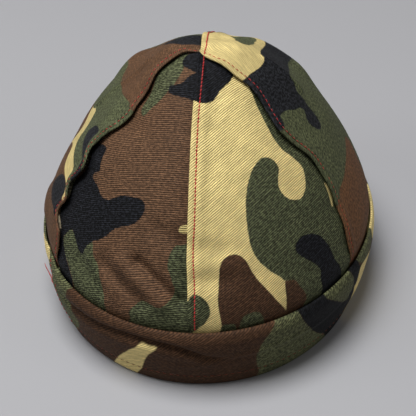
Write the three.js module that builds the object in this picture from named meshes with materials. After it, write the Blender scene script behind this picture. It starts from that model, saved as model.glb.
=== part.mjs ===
// A soft welding cap: four crown panels sewn into a pointed dome, a padded turned band and a short bill.
// Millimetres, +Z up. The wearer faces +Y, so the back of the cap looks towards -Y and its right ear is at +X.
// Angles about the apex run in degrees from the back towards +X: 0 is the back, 90 the right, 180 the front.
import * as THREE from "three";

// Head opening and crown, on the outer face of the cloth.
const rimHalfWidth = 87.5; // middle to side, where the crown leaves the band
const rimHalfLength = 101; // middle to front or back, at the same height
const apexSetback = 12.5; // the four panels meet this far behind the middle of the rim
const crownRise = 105; // from the band's top edge to the apex
const clothThickness = 1.4; // two plies of cotton drill
const backFlattening = 0.2; // share by which the back of the dome runs flatter than the front

// Seams. The panel behind each seam slips under a folded lap of its neighbour.
const pieceGap = 0.3; // sewing line between neighbouring pieces
const lapWidth = 7; // folded seam allowance that the topstitching holds down
const lapShoulder = 0.7; // share of the lap's width that stays at its full height
const narrowLap = 0.24; // largest share of a panel's width that a lap takes near the apex
const lapRise = 0.8; // how far the lap stands above the panel that it covers
const tuckDepth = 8; // crown allowance that runs down inside the band
const tuckInset = 0.5; // how far that allowance leans inwards over its depth

// Band.
const bandHeight = 38;
const bandThickness = 3.2;
const creaseReach = 0.09; // half height of the crease, as a share of bandHeight

// Bill.
const billDepth = 50; // from the band to the front edge
const billThickness = 2.4;
const billSpread = 44; // half angle of the bill's root about the apex, in degrees
const billCornerDepth = 4; // depth that is left at the two ends of the root
const billLift = 7; // the middle of the front edge lies this far above the table
const billEase = 8; // degrees past the root's ends over which the band comes back down
const billEdgeRound = 0.2; // share of billThickness by which its front edge is rounded, above and below

// Mesh fineness.
const panelRows = 18;
const lowRowShare = 1.12; // above 1 the rows lie closer together towards the band
const bandColumns = 80;
const billColumns = 26;
const billRows = 7;

// Side view of the crown from the band to the apex, as shares of rimHalfWidth and crownRise.
const crownSections = [
  { radius: 0.985, height: 0 },
  { radius: 0.955, height: 0.12 },
  { radius: 0.85, height: 0.32 },
  { radius: 0.68, height: 0.55 },
  { radius: 0.455, height: 0.76 },
  { radius: 0.235, height: 0.91 },
  { radius: 0, height: 1 },
];

// Course of each seam from the band (up = 0) to the apex (up = 1). The laps of the side seams are puckered.
const seamCourses = {
  back: [
    { up: 0, angle: 0.75 },
    { up: 0.12, angle: 0.75 },
    { up: 0.27, angle: 0.05 },
    { up: 0.4, angle: 0 },
    { up: 0.7, angle: -1.1 },
    { up: 0.82, angle: -1.2 },
    { up: 1, angle: 0 },
  ],
  right: [
    { up: 0, angle: 68 },
    { up: 0.1, angle: 68.5 },
    { up: 0.2, angle: 70.2 },
    { up: 0.31, angle: 71.7 },
    { up: 0.4, angle: 72.4 },
    { up: 0.47, angle: 70 },
    { up: 0.545, angle: 65.8 },
    { up: 0.61, angle: 63.4 },
    { up: 0.7, angle: 66.7 },
    { up: 0.79, angle: 67.4 },
    { up: 0.86, angle: 66 },
    { up: 1, angle: 64 },
  ],
  front: [
    { up: 0, angle: 180 },
    { up: 1, angle: 180 },
  ],
  left: [
    { up: 0, angle: -58 },
    { up: 0.1, angle: -59.2 },
    { up: 0.14, angle: -61 },
    { up: 0.185, angle: -67 },
    { up: 0.25, angle: -65 },
    { up: 0.305, angle: -67.6 },
    { up: 0.39, angle: -64.4 },
    { up: 0.455, angle: -68.4 },
    { up: 0.5, angle: -67.2 },
    { up: 0.57, angle: -61.8 },
    { up: 0.67, angle: -55.6 },
    { up: 0.72, angle: -59.4 },
    { up: 0.78, angle: -64.4 },
    { up: 0.83, angle: -71 },
    { up: 0.9, angle: -77 },
    { up: 1, angle: -80 },
  ],
};

// Panels from seam to seam. lapsStart and lapsEnd say which of its two seams a panel covers.
const panels = [
  { name: "crown_panel_back_right", start: "back", end: "right", lapsStart: true, lapsEnd: false, columns: 17 },
  { name: "crown_panel_front_right", start: "right", end: "front", lapsStart: true, lapsEnd: true, columns: 18 },
  { name: "crown_panel_front_left", start: "front", end: "left", lapsStart: false, lapsEnd: true, columns: 18 },
  { name: "crown_panel_back_left", start: "left", end: "back", lapsStart: false, lapsEnd: false, columns: 17 },
];

// Folds and swells of the crown, each along a line between two places given as [angle, up].
// width is a share of crownRise, depth is in cloth thicknesses, outwards if positive.
const crownFolds = [
  { name: "crease into the back seam", from: [-20, 0.26], to: [-5, 0.155], width: 0.045, depth: -1.3 },
  { name: "roll under that crease", from: [-25, 0.215], to: [-8, 0.12], width: 0.05, depth: 1.0 },
  { name: "crease above the band", from: [-31, 0.155], to: [-13, 0.085], width: 0.05, depth: -1.1 },
  { name: "hollow at the left of the band", from: [-44, 0.11], to: [-32, 0.07], width: 0.05, depth: -0.9 },
  { name: "upper buckle beside the back seam", from: [6, 0.315], to: [22, 0.3], width: 0.055, depth: -0.6 },
  { name: "lower buckle beside the back seam", from: [6, 0.21], to: [25, 0.2], width: 0.055, depth: -0.7 },
  { name: "pressed ridge on the left", from: [-116, 0.72], to: [-107, 0.44], width: 0.035, depth: 0.8 },
  { name: "pressed ridge on the right", from: [115, 0.78], to: [108, 0.6], width: 0.035, depth: 0.8 },
  { name: "notch of the left seam", from: [-62, 0.7], to: [-52, 0.63], width: 0.09, depth: -1.3 },
  { name: "hollow of the left front panel", from: [-106, 0.7], to: [-98, 0.42], width: 0.16, depth: -2.3 },
  { name: "hollow behind the left ridge", from: [-124, 0.62], to: [-114, 0.34], width: 0.13, depth: -2.4 },
  { name: "hollow in front of the apex", from: [180, 0.96], to: [178, 0.88], width: 0.08, depth: -1.3 },
  { name: "swell beside the apex on the left", from: [-120, 0.88], to: [-112, 0.82], width: 0.1, depth: 0.9 },
  { name: "swell at the left ear", from: [-104, 0.16], to: [-96, 0.3], width: 0.17, depth: 1.2 },
  { name: "swell of the right front panel", from: [124, 0.88], to: [110, 0.7], width: 0.16, depth: 2.9 },
  { name: "buckle over the bill, left", from: [-158, 0.3], to: [-166, 0.08], width: 0.06, depth: -0.8 },
  { name: "buckle over the bill, right", from: [155, 0.26], to: [163, 0.09], width: 0.06, depth: -0.8 },
];
const foldFade = { from: 0.01, to: 0.07 }; // stretch of up over which the folds flatten towards the band

// Outer face of the band from its top edge (drop = 0) to its bottom edge (drop = 1), in band thicknesses
// outside the face that lies against the crown.
const bandSections = [
  { drop: 0, out: 0.32 },
  { drop: 0.035, out: 0.78 },
  { drop: 0.11, out: 1.06 },
  { drop: 0.19, out: 1.05 },
  { drop: 0.27, out: 0.99 },
  { drop: 0.36, out: 0.84 },
  { drop: 0.46, out: 0.62 },
  { drop: 0.57, out: 0.4 },
  { drop: 0.7, out: 0.05 },
  { drop: 0.85, out: -0.45 },
  { drop: 0.95, out: -0.85 },
  { drop: 1, out: -1.1 },
];

// Crease under the band's roll, going round: its height as a share of bandHeight, its depth in band thicknesses.
const bandCrease = [
  { angle: -180, drop: 0.4, depth: 0.2 },
  { angle: -110, drop: 0.36, depth: 0.25 },
  { angle: -60, drop: 0.32, depth: 0.4 },
  { angle: -36, drop: 0.27, depth: 0.5 },
  { angle: -17, drop: 0.2, depth: 0.6 },
  { angle: -2, drop: 0.25, depth: 0.55 },
  { angle: 8, drop: 0.41, depth: 0.4 },
  { angle: 30, drop: 0.46, depth: 0.2 },
  { angle: 70, drop: 0.42, depth: 0.25 },
  { angle: 120, drop: 0.4, depth: 0.3 },
  { angle: 180, drop: 0.4, depth: 0.2 },
];

// How snugly the band lies against the crown, going round: 0 where it stands out fully, 1 where it is drawn in.
const bandSnugness = [
  { angle: -180, snug: 0 },
  { angle: -125, snug: 0.5 },
  { angle: -95, snug: 1 },
  { angle: -70, snug: 1 },
  { angle: -45, snug: 0.35 },
  { angle: -22, snug: 0 },
  { angle: 22, snug: 0 },
  { angle: 50, snug: 0.3 },
  { angle: 75, snug: 0.8 },
  { angle: 100, snug: 0.8 },
  { angle: 130, snug: 0.4 },
  { angle: 180, snug: 0 },
];
const snugRoll = 0.6; // share of the roll that a snug band loses
const snugFoot = 0.75; // how far a snug band's foot is drawn in, in band thicknesses

const { clamp, smoothstep, lerp, degToRad, radToDeg } = THREE.MathUtils;

// Reads a column of a table whose rows are sorted by key, along a smooth curve through the rows.
function readTable(rows, key, column, at) {
  const last = rows.length - 1;
  const slopeAt = (row) => {
    const [before, after] = [rows[Math.max(row - 1, 0)], rows[Math.min(row + 1, last)]];
    return (after[column] - before[column]) / (after[key] - before[key]);
  };
  const next = rows.findIndex((row) => row[key] >= at);
  const index = next < 0 ? last - 1 : Math.max(next - 1, 0);
  const [low, high] = [rows[index], rows[index + 1]];
  const run = high[key] - low[key];
  const t = clamp((at - low[key]) / run, 0, 1);
  const eased = t * t * (3 - 2 * t);
  const leaving = t * (1 - t) ** 2 * run * slopeAt(index);
  const arriving = t * t * (t - 1) * run * slopeAt(index + 1);
  return lerp(low[column], high[column], eased) + leaving + arriving;
}

// Distance from the apex's vertical line to the rim ellipse, whose middle lies apexSetback in front of it.
function rimReach(angle) {
  const [x, y] = [Math.sin(angle), -Math.cos(angle)];
  const a = (x / rimHalfWidth) ** 2 + (y / rimHalfLength) ** 2;
  const b = (-2 * y * apexSetback) / rimHalfLength ** 2;
  const c = (apexSetback / rimHalfLength) ** 2 - 1;
  return (-b + Math.sqrt(b * b - 4 * a * c)) / (2 * a);
}

const sideView = new THREE.SplineCurve(
  crownSections.map((row) => new THREE.Vector2(row.radius * rimHalfWidth, row.height * crownRise)),
);

// Distance of the smooth dome from the apex's vertical line; below up = 0 it is the allowance inside the band.
function crownReach(angle, up) {
  const share = sideView.getPointAt(clamp(up, 0, 1)).x / rimHalfWidth;
  const flattened = share - backFlattening * Math.cos(angle) * share * (1 - share);
  return flattened * rimReach(angle) + Math.min(up, 0) * tuckInset;
}

// A point of the smooth dome before folds. up runs from -1 at the raw edge, over 0 at the band, to 1 at the apex.
function crownPoint(angle, up) {
  const reach = crownReach(angle, up);
  const rise = sideView.getPointAt(clamp(up, 0, 1)).y + Math.min(up, 0) * tuckDepth;
  return new THREE.Vector3(reach * Math.sin(angle), -reach * Math.cos(angle), bandHeight + rise);
}

// Outward direction of the smooth dome, taken just above the band and just below the apex at its two ends.
function crownNormal(angle, up) {
  const step = 0.004;
  const at = clamp(up, step, 1 - 4 * step);
  const round = crownPoint(angle + step, at).sub(crownPoint(angle - step, at));
  const climb = crownPoint(angle, at + step).sub(crownPoint(angle, at - step));
  return round.cross(climb).normalize();
}

const foldLines = crownFolds.map((fold) => ({
  line: new THREE.Line3(...[fold.from, fold.to].map(([angle, up]) => crownPoint(degToRad(angle), up))),
  width: fold.width * crownRise,
  depth: fold.depth * clothThickness,
}));

// How far the folds push a point of the dome outwards.
function foldLift(point, up) {
  const nearest = new THREE.Vector3();
  let lift = 0;
  for (const { line, width, depth } of foldLines) {
    const distance = line.closestPointToPoint(point, true, nearest).distanceTo(point);
    lift += depth * Math.exp(-((distance / width) ** 2));
  }
  return lift * smoothstep(up, foldFade.from, foldFade.to);
}

// A closed body between two facing grids of points, grid[row][column]. A grid's last row may be a single point.
function bodyBetween(outer, inner, closedRound = false) {
  const points = [];
  const number = (grid) => grid.map((row) => row.map((point) => points.push(point) - 1));
  const [out, back] = [number(outer), number(inner)];
  const triangles = [];
  const quad = (a, b, c, d) => {
    if (a !== b && b !== c && a !== c) triangles.push([a, b, c]);
    if (a !== c && c !== d && a !== d) triangles.push([a, c, d]);
  };
  const at = (row, column) => row[row.length === 1 ? 0 : column % row.length];
  const columns = outer[0].length - (closedRound ? 0 : 1);
  for (let r = 0; r + 1 < out.length; r++) {
    for (let c = 0; c < columns; c++) {
      quad(at(out[r], c), at(out[r], c + 1), at(out[r + 1], c + 1), at(out[r + 1], c));
      quad(at(back[r], c + 1), at(back[r], c), at(back[r + 1], c), at(back[r + 1], c + 1));
    }
    if (!closedRound) {
      quad(at(back[r], 0), at(out[r], 0), at(out[r + 1], 0), at(back[r + 1], 0));
      quad(at(out[r], columns), at(back[r], columns), at(back[r + 1], columns), at(out[r + 1], columns));
    }
  }
  for (const r of [0, out.length - 1]) {
    if (out[r].length === 1) continue;
    for (let c = 0; c < columns; c++) {
      const edge = [at(back[r], c), at(back[r], c + 1), at(out[r], c + 1), at(out[r], c)];
      quad(...(r === 0 ? edge : edge.reverse()));
    }
  }
  const geometry = new THREE.BufferGeometry().setFromPoints(points);
  geometry.setIndex(triangles.flat());
  geometry.computeVertexNormals();
  return geometry;
}

const lapAcross = (width) => Math.min(lapWidth, width * narrowLap);

// Places across a panel in millimetres from its first edge, with a column on each lap's shoulder and foot.
function columnPlaces(width, columns) {
  const lap = lapAcross(width);
  const edge = [0, lap * lapShoulder, lap];
  const between = [];
  for (let c = 1; c < columns; c++) between.push(lap + ((width - 2 * lap) * c) / columns);
  return [...edge, ...between, ...edge.map((place) => width - place).reverse()];
}

// Height of a lap above its panel at a distance from the seam. It flattens towards the band.
function lapLift(distance, width, up) {
  const lap = lapAcross(width);
  const fade = smoothstep(up, foldFade.from, foldFade.to);
  return lapRise * fade * (1 - smoothstep(distance, lap * lapShoulder, lap));
}

function crownPanel({ start, end, lapsStart, lapsEnd, columns }) {
  const seamAngle = (seam, up) => degToRad(readTable(seamCourses[seam], "up", "angle", Math.max(up, 0)));
  const edgesAt = (up) => {
    const [from, to] = [seamAngle(start, up), seamAngle(end, up)];
    return [from, to > from ? to : to + 2 * Math.PI];
  };
  const ups = [-1, 0];
  for (let r = 1; r < panelRows; r++) ups.push((r / panelRows) ** lowRowShare);
  const [outer, inner] = [[], []];
  for (const up of ups) {
    const [from, to] = edgesAt(up);
    const reach = crownReach((from + to) / 2, up);
    const width = (to - from) * reach - pieceGap;
    const [outerRow, innerRow] = [[], []];
    for (const place of columnPlaces(width, columns)) {
      const angle = from + (pieceGap / 2 + place) / reach;
      const [point, normal] = [crownPoint(angle, up), crownNormal(angle, up)];
      const fold = foldLift(point, up);
      const lapAtStart = lapsStart ? lapLift(place, width, up) : 0;
      const lapAtEnd = lapsEnd ? lapLift(width - place, width, up) : 0;
      outerRow.push(point.clone().addScaledVector(normal, fold + lapAtStart + lapAtEnd));
      innerRow.push(point.clone().addScaledVector(normal, fold - clothThickness));
    }
    outer.push(outerRow);
    inner.push(innerRow);
  }
  const [from, to] = edgesAt(1);
  const tipAngle = (from + to) / 2;
  const tip = new THREE.Vector3(Math.sin(tipAngle), -Math.cos(tipAngle), 0).multiplyScalar(2 * pieceGap);
  tip.z = bandHeight + crownRise;
  outer.push([tip]);
  inner.push([tip.clone().setZ(tip.z - clothThickness)]);
  return bodyBetween(outer, inner);
}

// The bill's root is sewn under the band, whose bottom edge climbs over it.
const billRise = billThickness + pieceGap;
const turnedAngle = (angle) => radToDeg(Math.atan2(Math.sin(angle), Math.cos(angle)));

function bandBottom(angle) {
  const pastRoot = 180 - Math.abs(turnedAngle(angle)) - billSpread;
  return billRise * (1 - smoothstep(pastRoot, billEase * 0.3, billEase * 1.3));
}

// Distance from the apex's vertical line to the band's face that lies against the crown.
const bandSeat = (angle) => crownReach(angle, 0) + pieceGap;

// How far the band's outer face stands outside that seat.
function bandOut(angle, drop) {
  const turn = turnedAngle(angle);
  const creaseDrop = readTable(bandCrease, "angle", "drop", turn);
  const creaseDepth = readTable(bandCrease, "angle", "depth", turn);
  const crease = creaseDepth * Math.exp(-(((drop - creaseDrop) / creaseReach) ** 2));
  const snug = readTable(bandSnugness, "angle", "snug", turn);
  const [lip, full] = [bandSections[0].out, readTable(bandSections, "drop", "out", drop)];
  const rolled = full > lip ? lerp(full, lip, snug * snugRoll) : full;
  const foot = snug * snugFoot * smoothstep(drop, 0.2, 0.9);
  return (rolled - foot - crease * (1 - snug * snugRoll)) * bandThickness;
}

const bandReach = (angle, drop) => bandSeat(angle) + bandOut(angle, drop);

// The band's inner face is straight beside the tucked crown, and follows its outer face below that.
function bandInset(angle, drop) {
  const overlap = tuckDepth / bandHeight;
  const below = smoothstep(drop, overlap, overlap * 1.6);
  return lerp(bandOut(angle, drop), bandThickness, below);
}

function band() {
  const ringAt = (drop, inset) => {
    const ring = [];
    for (let c = 0; c < bandColumns; c++) {
      const angle = (2 * Math.PI * c) / bandColumns;
      const reach = bandReach(angle, drop) - inset(angle, drop);
      const height = lerp(bandHeight, bandBottom(angle), drop);
      ring.push(new THREE.Vector3(reach * Math.sin(angle), -reach * Math.cos(angle), height));
    }
    return ring;
  };
  const upwards = bandSections.map((row) => row.drop).reverse();
  const outer = upwards.map((drop) => ringAt(drop, () => 0));
  const inner = upwards.map((drop) => ringAt(drop, bandInset));
  return bodyBetween(outer, inner, true);
}

// The bill fans out from its root under the band's bottom edge to a rounded front edge.
// turn runs from -1 at its left end to 1 at its right end, share from 0 at the root to 1 at the edge.
const billFront = rimHalfLength + apexSetback + billDepth;

function billPlace(turn, share) {
  const bandEdge = (angle, inset) => {
    const reach = bandReach(angle, 1) - inset;
    return new THREE.Vector2(reach * Math.sin(angle), -reach * Math.cos(angle));
  };
  const spread = degToRad(billSpread);
  const corner = bandEdge(Math.PI - spread, 0).addScalar(billCornerDepth);
  const sweep = (turn * Math.PI) / 2;
  const edge = new THREE.Vector2(
    corner.x * Math.sin(sweep),
    corner.y + (billFront - corner.y) * Math.cos(sweep),
  );
  return bandEdge(Math.PI - turn * spread, bandThickness).lerp(edge, share);
}

function bill() {
  const [top, bottom] = [[], []];
  for (let r = 0; r <= billRows; r++) {
    const [topRow, bottomRow] = [[], []];
    const share = r / billRows;
    const rounding = r === billRows ? billThickness * billEdgeRound : 0;
    for (let c = 0; c <= billColumns; c++) {
      const turn = (2 * c) / billColumns - 1;
      const place = billPlace(turn, share);
      const lift = billLift * share ** 1.4 * Math.cos((turn * Math.PI) / 2) ** 2;
      topRow.push(new THREE.Vector3(place.x, place.y, lift + billThickness - rounding));
      bottomRow.push(new THREE.Vector3(place.x, place.y, lift + rounding));
    }
    top.push(topRow);
    bottom.push(bottomRow);
  }
  return bodyBetween(top, bottom);
}

const cotton = (name, color) => new THREE.MeshStandardMaterial({ name, color, roughness: 0.92, metalness: 0 });
const crownDrill = cotton("crown_drill", 0x5a4a34);
const bandDrill = cotton("band_drill", 0x4c3424);
const billDrill = cotton("bill_drill", 0x46502f);

function piece(name, geometry, material) {
  const mesh = new THREE.Mesh(geometry, material);
  mesh.name = name;
  return mesh;
}

const crown = new THREE.Group();
for (const panel of panels) crown.add(piece(panel.name, crownPanel(panel), crownDrill));

const cap = new THREE.Group();
cap.add(crown, piece("band", band(), bandDrill), piece("bill", bill(), billDrill));

// The origin is under the middle of the whole cap, between the back of the band and the front of the bill.
const backReach = Math.max(...bandSections.map(({ drop }) => bandReach(0, drop)));
cap.position.y = (backReach - billFront) / 2;

export default cap;
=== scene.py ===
# %% [markdown]
# # A welding cap in woodland drill
# A welding cap is a soft cotton cap that keeps sparks off the hair. Four panels of drill, a strong twill,
# meet at a point. Their seam allowances are folded over and held down with red topstitching. A padded
# band is turned up round the head, and a short soft bill sits under its front.
#
# The lesson builds each piece as cloth: it has a right side and a wrong side, it is folded where it is
# sewn, and its print, weave and thread are worked out from the flat cloth that the piece was cut from.

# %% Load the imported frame
import bpy
import bmesh
import numpy as np
from mathutils import Matrix, Vector
from mathutils.bvhtree import BVHTree


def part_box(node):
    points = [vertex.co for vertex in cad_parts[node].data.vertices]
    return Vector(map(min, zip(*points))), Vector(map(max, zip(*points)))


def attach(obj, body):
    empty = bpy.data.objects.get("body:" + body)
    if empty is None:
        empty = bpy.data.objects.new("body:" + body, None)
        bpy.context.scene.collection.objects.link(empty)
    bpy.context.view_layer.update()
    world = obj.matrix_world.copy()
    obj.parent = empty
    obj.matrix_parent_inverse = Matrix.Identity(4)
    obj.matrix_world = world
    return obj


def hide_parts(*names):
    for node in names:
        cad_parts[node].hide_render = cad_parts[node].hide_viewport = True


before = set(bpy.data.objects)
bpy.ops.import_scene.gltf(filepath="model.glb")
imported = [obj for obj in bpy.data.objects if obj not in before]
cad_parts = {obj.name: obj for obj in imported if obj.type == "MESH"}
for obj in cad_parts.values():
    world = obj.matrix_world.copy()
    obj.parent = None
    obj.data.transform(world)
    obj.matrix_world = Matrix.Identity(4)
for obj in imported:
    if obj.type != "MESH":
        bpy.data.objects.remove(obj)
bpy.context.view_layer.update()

# %% [markdown]
# ## Sizes
# The cloth is worked out in millimetres about the apex, because a tailor's sizes are easy to read that
# way. One helper at the end turns them into the frame's metres. The numbers are those of the solid model,
# so every piece lies on its own solid. Angles run in degrees from the back of the cap towards the
# wearer's right ear.

# %% Name the sizes of the cap
MM = 0.001
RIM_HALF_WIDTH, RIM_HALF_LENGTH, APEX_SETBACK = 87.5, 101.0, 12.5
CROWN_RISE, BACK_FLATTENING = 105.0, 0.2
TUCK_DEPTH, TUCK_INSET = 8.0, 0.5
BAND_HEIGHT, BAND_THICKNESS, SEWING_GAP = 38.0, 3.2, 0.3
BILL_DEPTH, BILL_THICKNESS, BILL_SPREAD = 50.0, 2.4, 44.0
BILL_CORNER, BILL_LIFT, BILL_EASE = 4.0, 7.0, 8.0
PLY = 0.9  # one ply of drill with its turned nap
BILL_FRONT = RIM_HALF_LENGTH + APEX_SETBACK + BILL_DEPTH
APEX_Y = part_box("bill")[1][1] - BILL_FRONT * MM
print("apex stands at y =", round(APEX_Y, 4))


def in_frame(points):
    """Millimetres about the apex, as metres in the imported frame."""
    return np.asarray(points) * MM + (0, APEX_Y, 0)


# %% [markdown]
# ## Smooth tables
# Two kinds of curve shape the cap. A closed or open line runs smoothly through chosen points, for the
# side view and for the edges of the print. A table is read at any place between its rows, for seams and
# folds. Both pass through their rows, so a row can be set by eye and stays where it was put.

# %% Run smooth lines through points and tables


def smooth_through(points, steps, closed=False):
    """A smooth line through the points, with this many places from one point to the next."""
    points = np.asarray(points, float)
    count = len(points)
    starts = np.arange(count if closed else count - 1)
    pick = (lambda i: points[i % count]) if closed else (lambda i: points[np.clip(i, 0, count - 1)])
    before, here, there, after = (pick(starts + shift)[:, None] for shift in (-1, 0, 1, 2))
    leaving, arriving = (there - before) / 2, (after - here) / 2
    t = np.linspace(0, 1, steps, endpoint=False)[None, :, None]
    line = (2 * here - 2 * there + leaving + arriving) * t**3
    line = line + (3 * there - 3 * here - 2 * leaving - arriving) * t**2 + leaving * t + here
    line = line.reshape(-1, points.shape[1])
    return line if closed else np.vstack([line, points[-1:]])


def read_table(rows, at):
    """The second column of a table at places of the first, on a smooth curve through the rows."""
    keys, values = np.array(rows, float).T
    last = len(keys) - 1
    row = np.arange(len(keys))
    low, high = np.maximum(row - 1, 0), np.minimum(row + 1, last)
    slopes = (values[high] - values[low]) / (keys[high] - keys[low])
    at = np.clip(at, keys[0], keys[-1])
    i = np.clip(np.searchsorted(keys, at, side="left") - 1, 0, last - 1)
    run = keys[i + 1] - keys[i]
    t = (at - keys[i]) / run
    eased = t * t * (3 - 2 * t)
    bend = t * (1 - t) ** 2 * run * slopes[i] + t * t * (t - 1) * run * slopes[i + 1]
    return values[i] * (1 - eased) + values[i + 1] * eased + bend


def smoothstep(value, low, high):
    """0 below low, 1 above high, and a soft climb between them."""
    t = np.clip((value - low) / (high - low), 0, 1)
    return t * t * (3 - 2 * t)


def bell(distance, reach):
    """A soft bump of height 1 that has nearly died out at twice its reach."""
    return np.exp(-((distance / reach) ** 2))


# %% [markdown]
# ## The dome
# The crown is a dome over an oval rim, drawn out to a point a little behind the middle. A place on it is
# an angle and a share `up` from the band to the apex. The side view is stored once, and the rim's reach
# turns it into a surface. A subdivided sphere could be pulled into this form too, but then a seam or a
# print would have no address on it.

# %% Work out the dome's surface
CROWN_SECTIONS = (  # distance out as a share of the rim, height as a share of the rise
    (0.985, 0), (0.955, 0.12), (0.85, 0.32), (0.68, 0.55), (0.455, 0.76), (0.235, 0.91), (0, 1),
)
SIDE_STEPS = 400
SIDE_VIEW = smooth_through(np.array(CROWN_SECTIONS) * (RIM_HALF_WIDTH, CROWN_RISE), SIDE_STEPS)
STEP_LENGTHS = np.linalg.norm(np.diff(SIDE_VIEW, axis=0), axis=1)
PANEL_LENGTH = STEP_LENGTHS.sum()
SIDE_SHARE = np.r_[0, np.cumsum(STEP_LENGTHS)] / PANEL_LENGTH


def rim_reach(angle):
    """Distance from the line under the apex to the rim, an oval whose middle lies in front of that line."""
    x, y = np.sin(angle), -np.cos(angle)
    a = (x / RIM_HALF_WIDTH) ** 2 + (y / RIM_HALF_LENGTH) ** 2
    b = -2 * y * APEX_SETBACK / RIM_HALF_LENGTH**2
    c = (APEX_SETBACK / RIM_HALF_LENGTH) ** 2 - 1
    return (-b + np.sqrt(b * b - 4 * a * c)) / (2 * a)


def crown_reach(angle, up):
    """Distance of the dome from the line under the apex. Below up = 0 the cloth is tucked into the band."""
    share = np.interp(up, SIDE_SHARE, SIDE_VIEW[:, 0]) / RIM_HALF_WIDTH
    flattened = share - BACK_FLATTENING * np.cos(angle) * share * (1 - share)
    return flattened * rim_reach(angle) + np.minimum(up, 0) * TUCK_INSET


def crown_point(angle, up):
    """A place on the dome, in mm."""
    reach = crown_reach(angle, up)
    height = BAND_HEIGHT + np.interp(up, SIDE_SHARE, SIDE_VIEW[:, 1]) + np.minimum(up, 0) * TUCK_DEPTH
    return np.stack([reach * np.sin(angle), -reach * np.cos(angle), height + 0 * angle], -1)


def crown_normal(angle, up):
    """The dome's outward direction, from short steps over it. The apex borrows that of its surroundings."""
    step = 0.004
    at = np.clip(up, step, 1 - 4 * step)
    round_it = crown_point(angle + step, at) - crown_point(angle - step, at)
    climb = crown_point(angle, at + step) - crown_point(angle, at - step)
    normal = np.cross(round_it, climb)
    return normal / np.linalg.norm(normal, axis=-1, keepdims=True)


print("a panel is", round(PANEL_LENGTH, 1), "mm long from the band to the apex")

# %% [markdown]
# ## Folds
# Worn cloth is never smooth. Each fold is a soft ridge or crease along a short line on the dome, with a
# width and a depth. A cloth simulation would wrinkle the panels too, but not where the real cap is
# wrinkled, so the folds are listed one by one and pushed out along the dome's normals.

# %% Lay the folds of the crown
CROWN_FOLDS = (  # from (angle, up), to (angle, up), width in mm, depth in mm, outwards if positive
    ((-19, 0.215), (-2.5, 0.11), 3.4, -3.2),
    ((-25, 0.195), (-8, 0.1), 4.4, 2.0),
    ((-34, 0.16), (-15.5, 0.085), 4.4, -2.3),
    ((-44, 0.11), (-32, 0.07), 5.2, -1.5),
    ((-40, 0.17), (-27, 0.1), 5.0, 1.0),
    ((-13, 0.34), (-4, 0.31), 5.0, -1.3),
    ((4, 0.285), (15, 0.28), 5.0, -1.3),
    ((4, 0.182), (15, 0.178), 5.0, -1.4),
    ((-112, 0.78), (-108.5, 0.46), 1.9, 1.4),
    ((115, 0.78), (108, 0.6), 2.2, 1.2),
    ((-62, 0.7), (-52, 0.63), 9.4, -1.8),
    ((-106, 0.7), (-98, 0.42), 16.8, -3.2),
    ((-122, 0.5), (-112, 0.34), 12.0, -3.0),
    ((-137, 0.61), (-126, 0.53), 9.0, 2.2),
    ((-120, 0.88), (-112, 0.82), 10.5, 1.3),
    ((-112, 0.22), (-98, 0.15), 9.0, -2.2),
    ((-92, 0.1), (-84, 0.06), 8.0, 1.8),
    ((-86, 0.18), (-73, 0.15), 8.0, 1.2),
    ((124, 0.88), (110, 0.7), 16.8, 3.2),
    ((156, 0.62), (142, 0.5), 12.0, 2.9),
    ((175, 0.98), (178, 0.84), 9.0, -2.6),
    ((180, 0.88), (165, 0.85), 10.0, -1.9),
    ((-172, 0.74), (166, 0.7), 9.0, -1.3),
    ((-152, 0.74), (-144, 0.68), 9.0, -1.6),
    ((-158, 0.3), (-166, 0.08), 6.3, -1.1),
    ((155, 0.26), (163, 0.09), 6.3, -1.1),
    ((-52, 0.36), (-62, 0.3), 5.0, -0.7),
    ((-50, 0.46), (-60, 0.44), 5.0, 0.5),
    ((54, 0.32), (66, 0.3), 6.0, 0.5),
)
FOLD_FADE = (0.01, 0.07)  # stretch of up over which folds and laps flatten towards the band


def fold_lift(points, up):
    """How far the folds push points of the dome outwards."""
    lift = np.zeros(points.shape[:-1])
    for start, end, width, depth in CROWN_FOLDS:
        a, b = (crown_point(np.radians(place[0]), np.float64(place[1])) for place in (start, end))
        along = np.clip(((points - a) @ (b - a)) / ((b - a) @ (b - a)), 0, 1)
        distance = np.linalg.norm(points - a - along[..., None] * (b - a), axis=-1)
        lift += depth * bell(distance, width)
    return lift * smoothstep(up, *FOLD_FADE)


# %% [markdown]
# ## The print
# Woodland print has five layers on one cloth: the ground, then tan, brown, green and near black. A flat
# plan of each panel holds the edges of its patches, in millimetres from the panel's middle line and up
# from the band. A vertex then stores how far it lies inside each colour. A shader that switches colour
# where that distance passes zero draws the edges far crisper than painted vertices could, and it needs no
# image.

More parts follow.
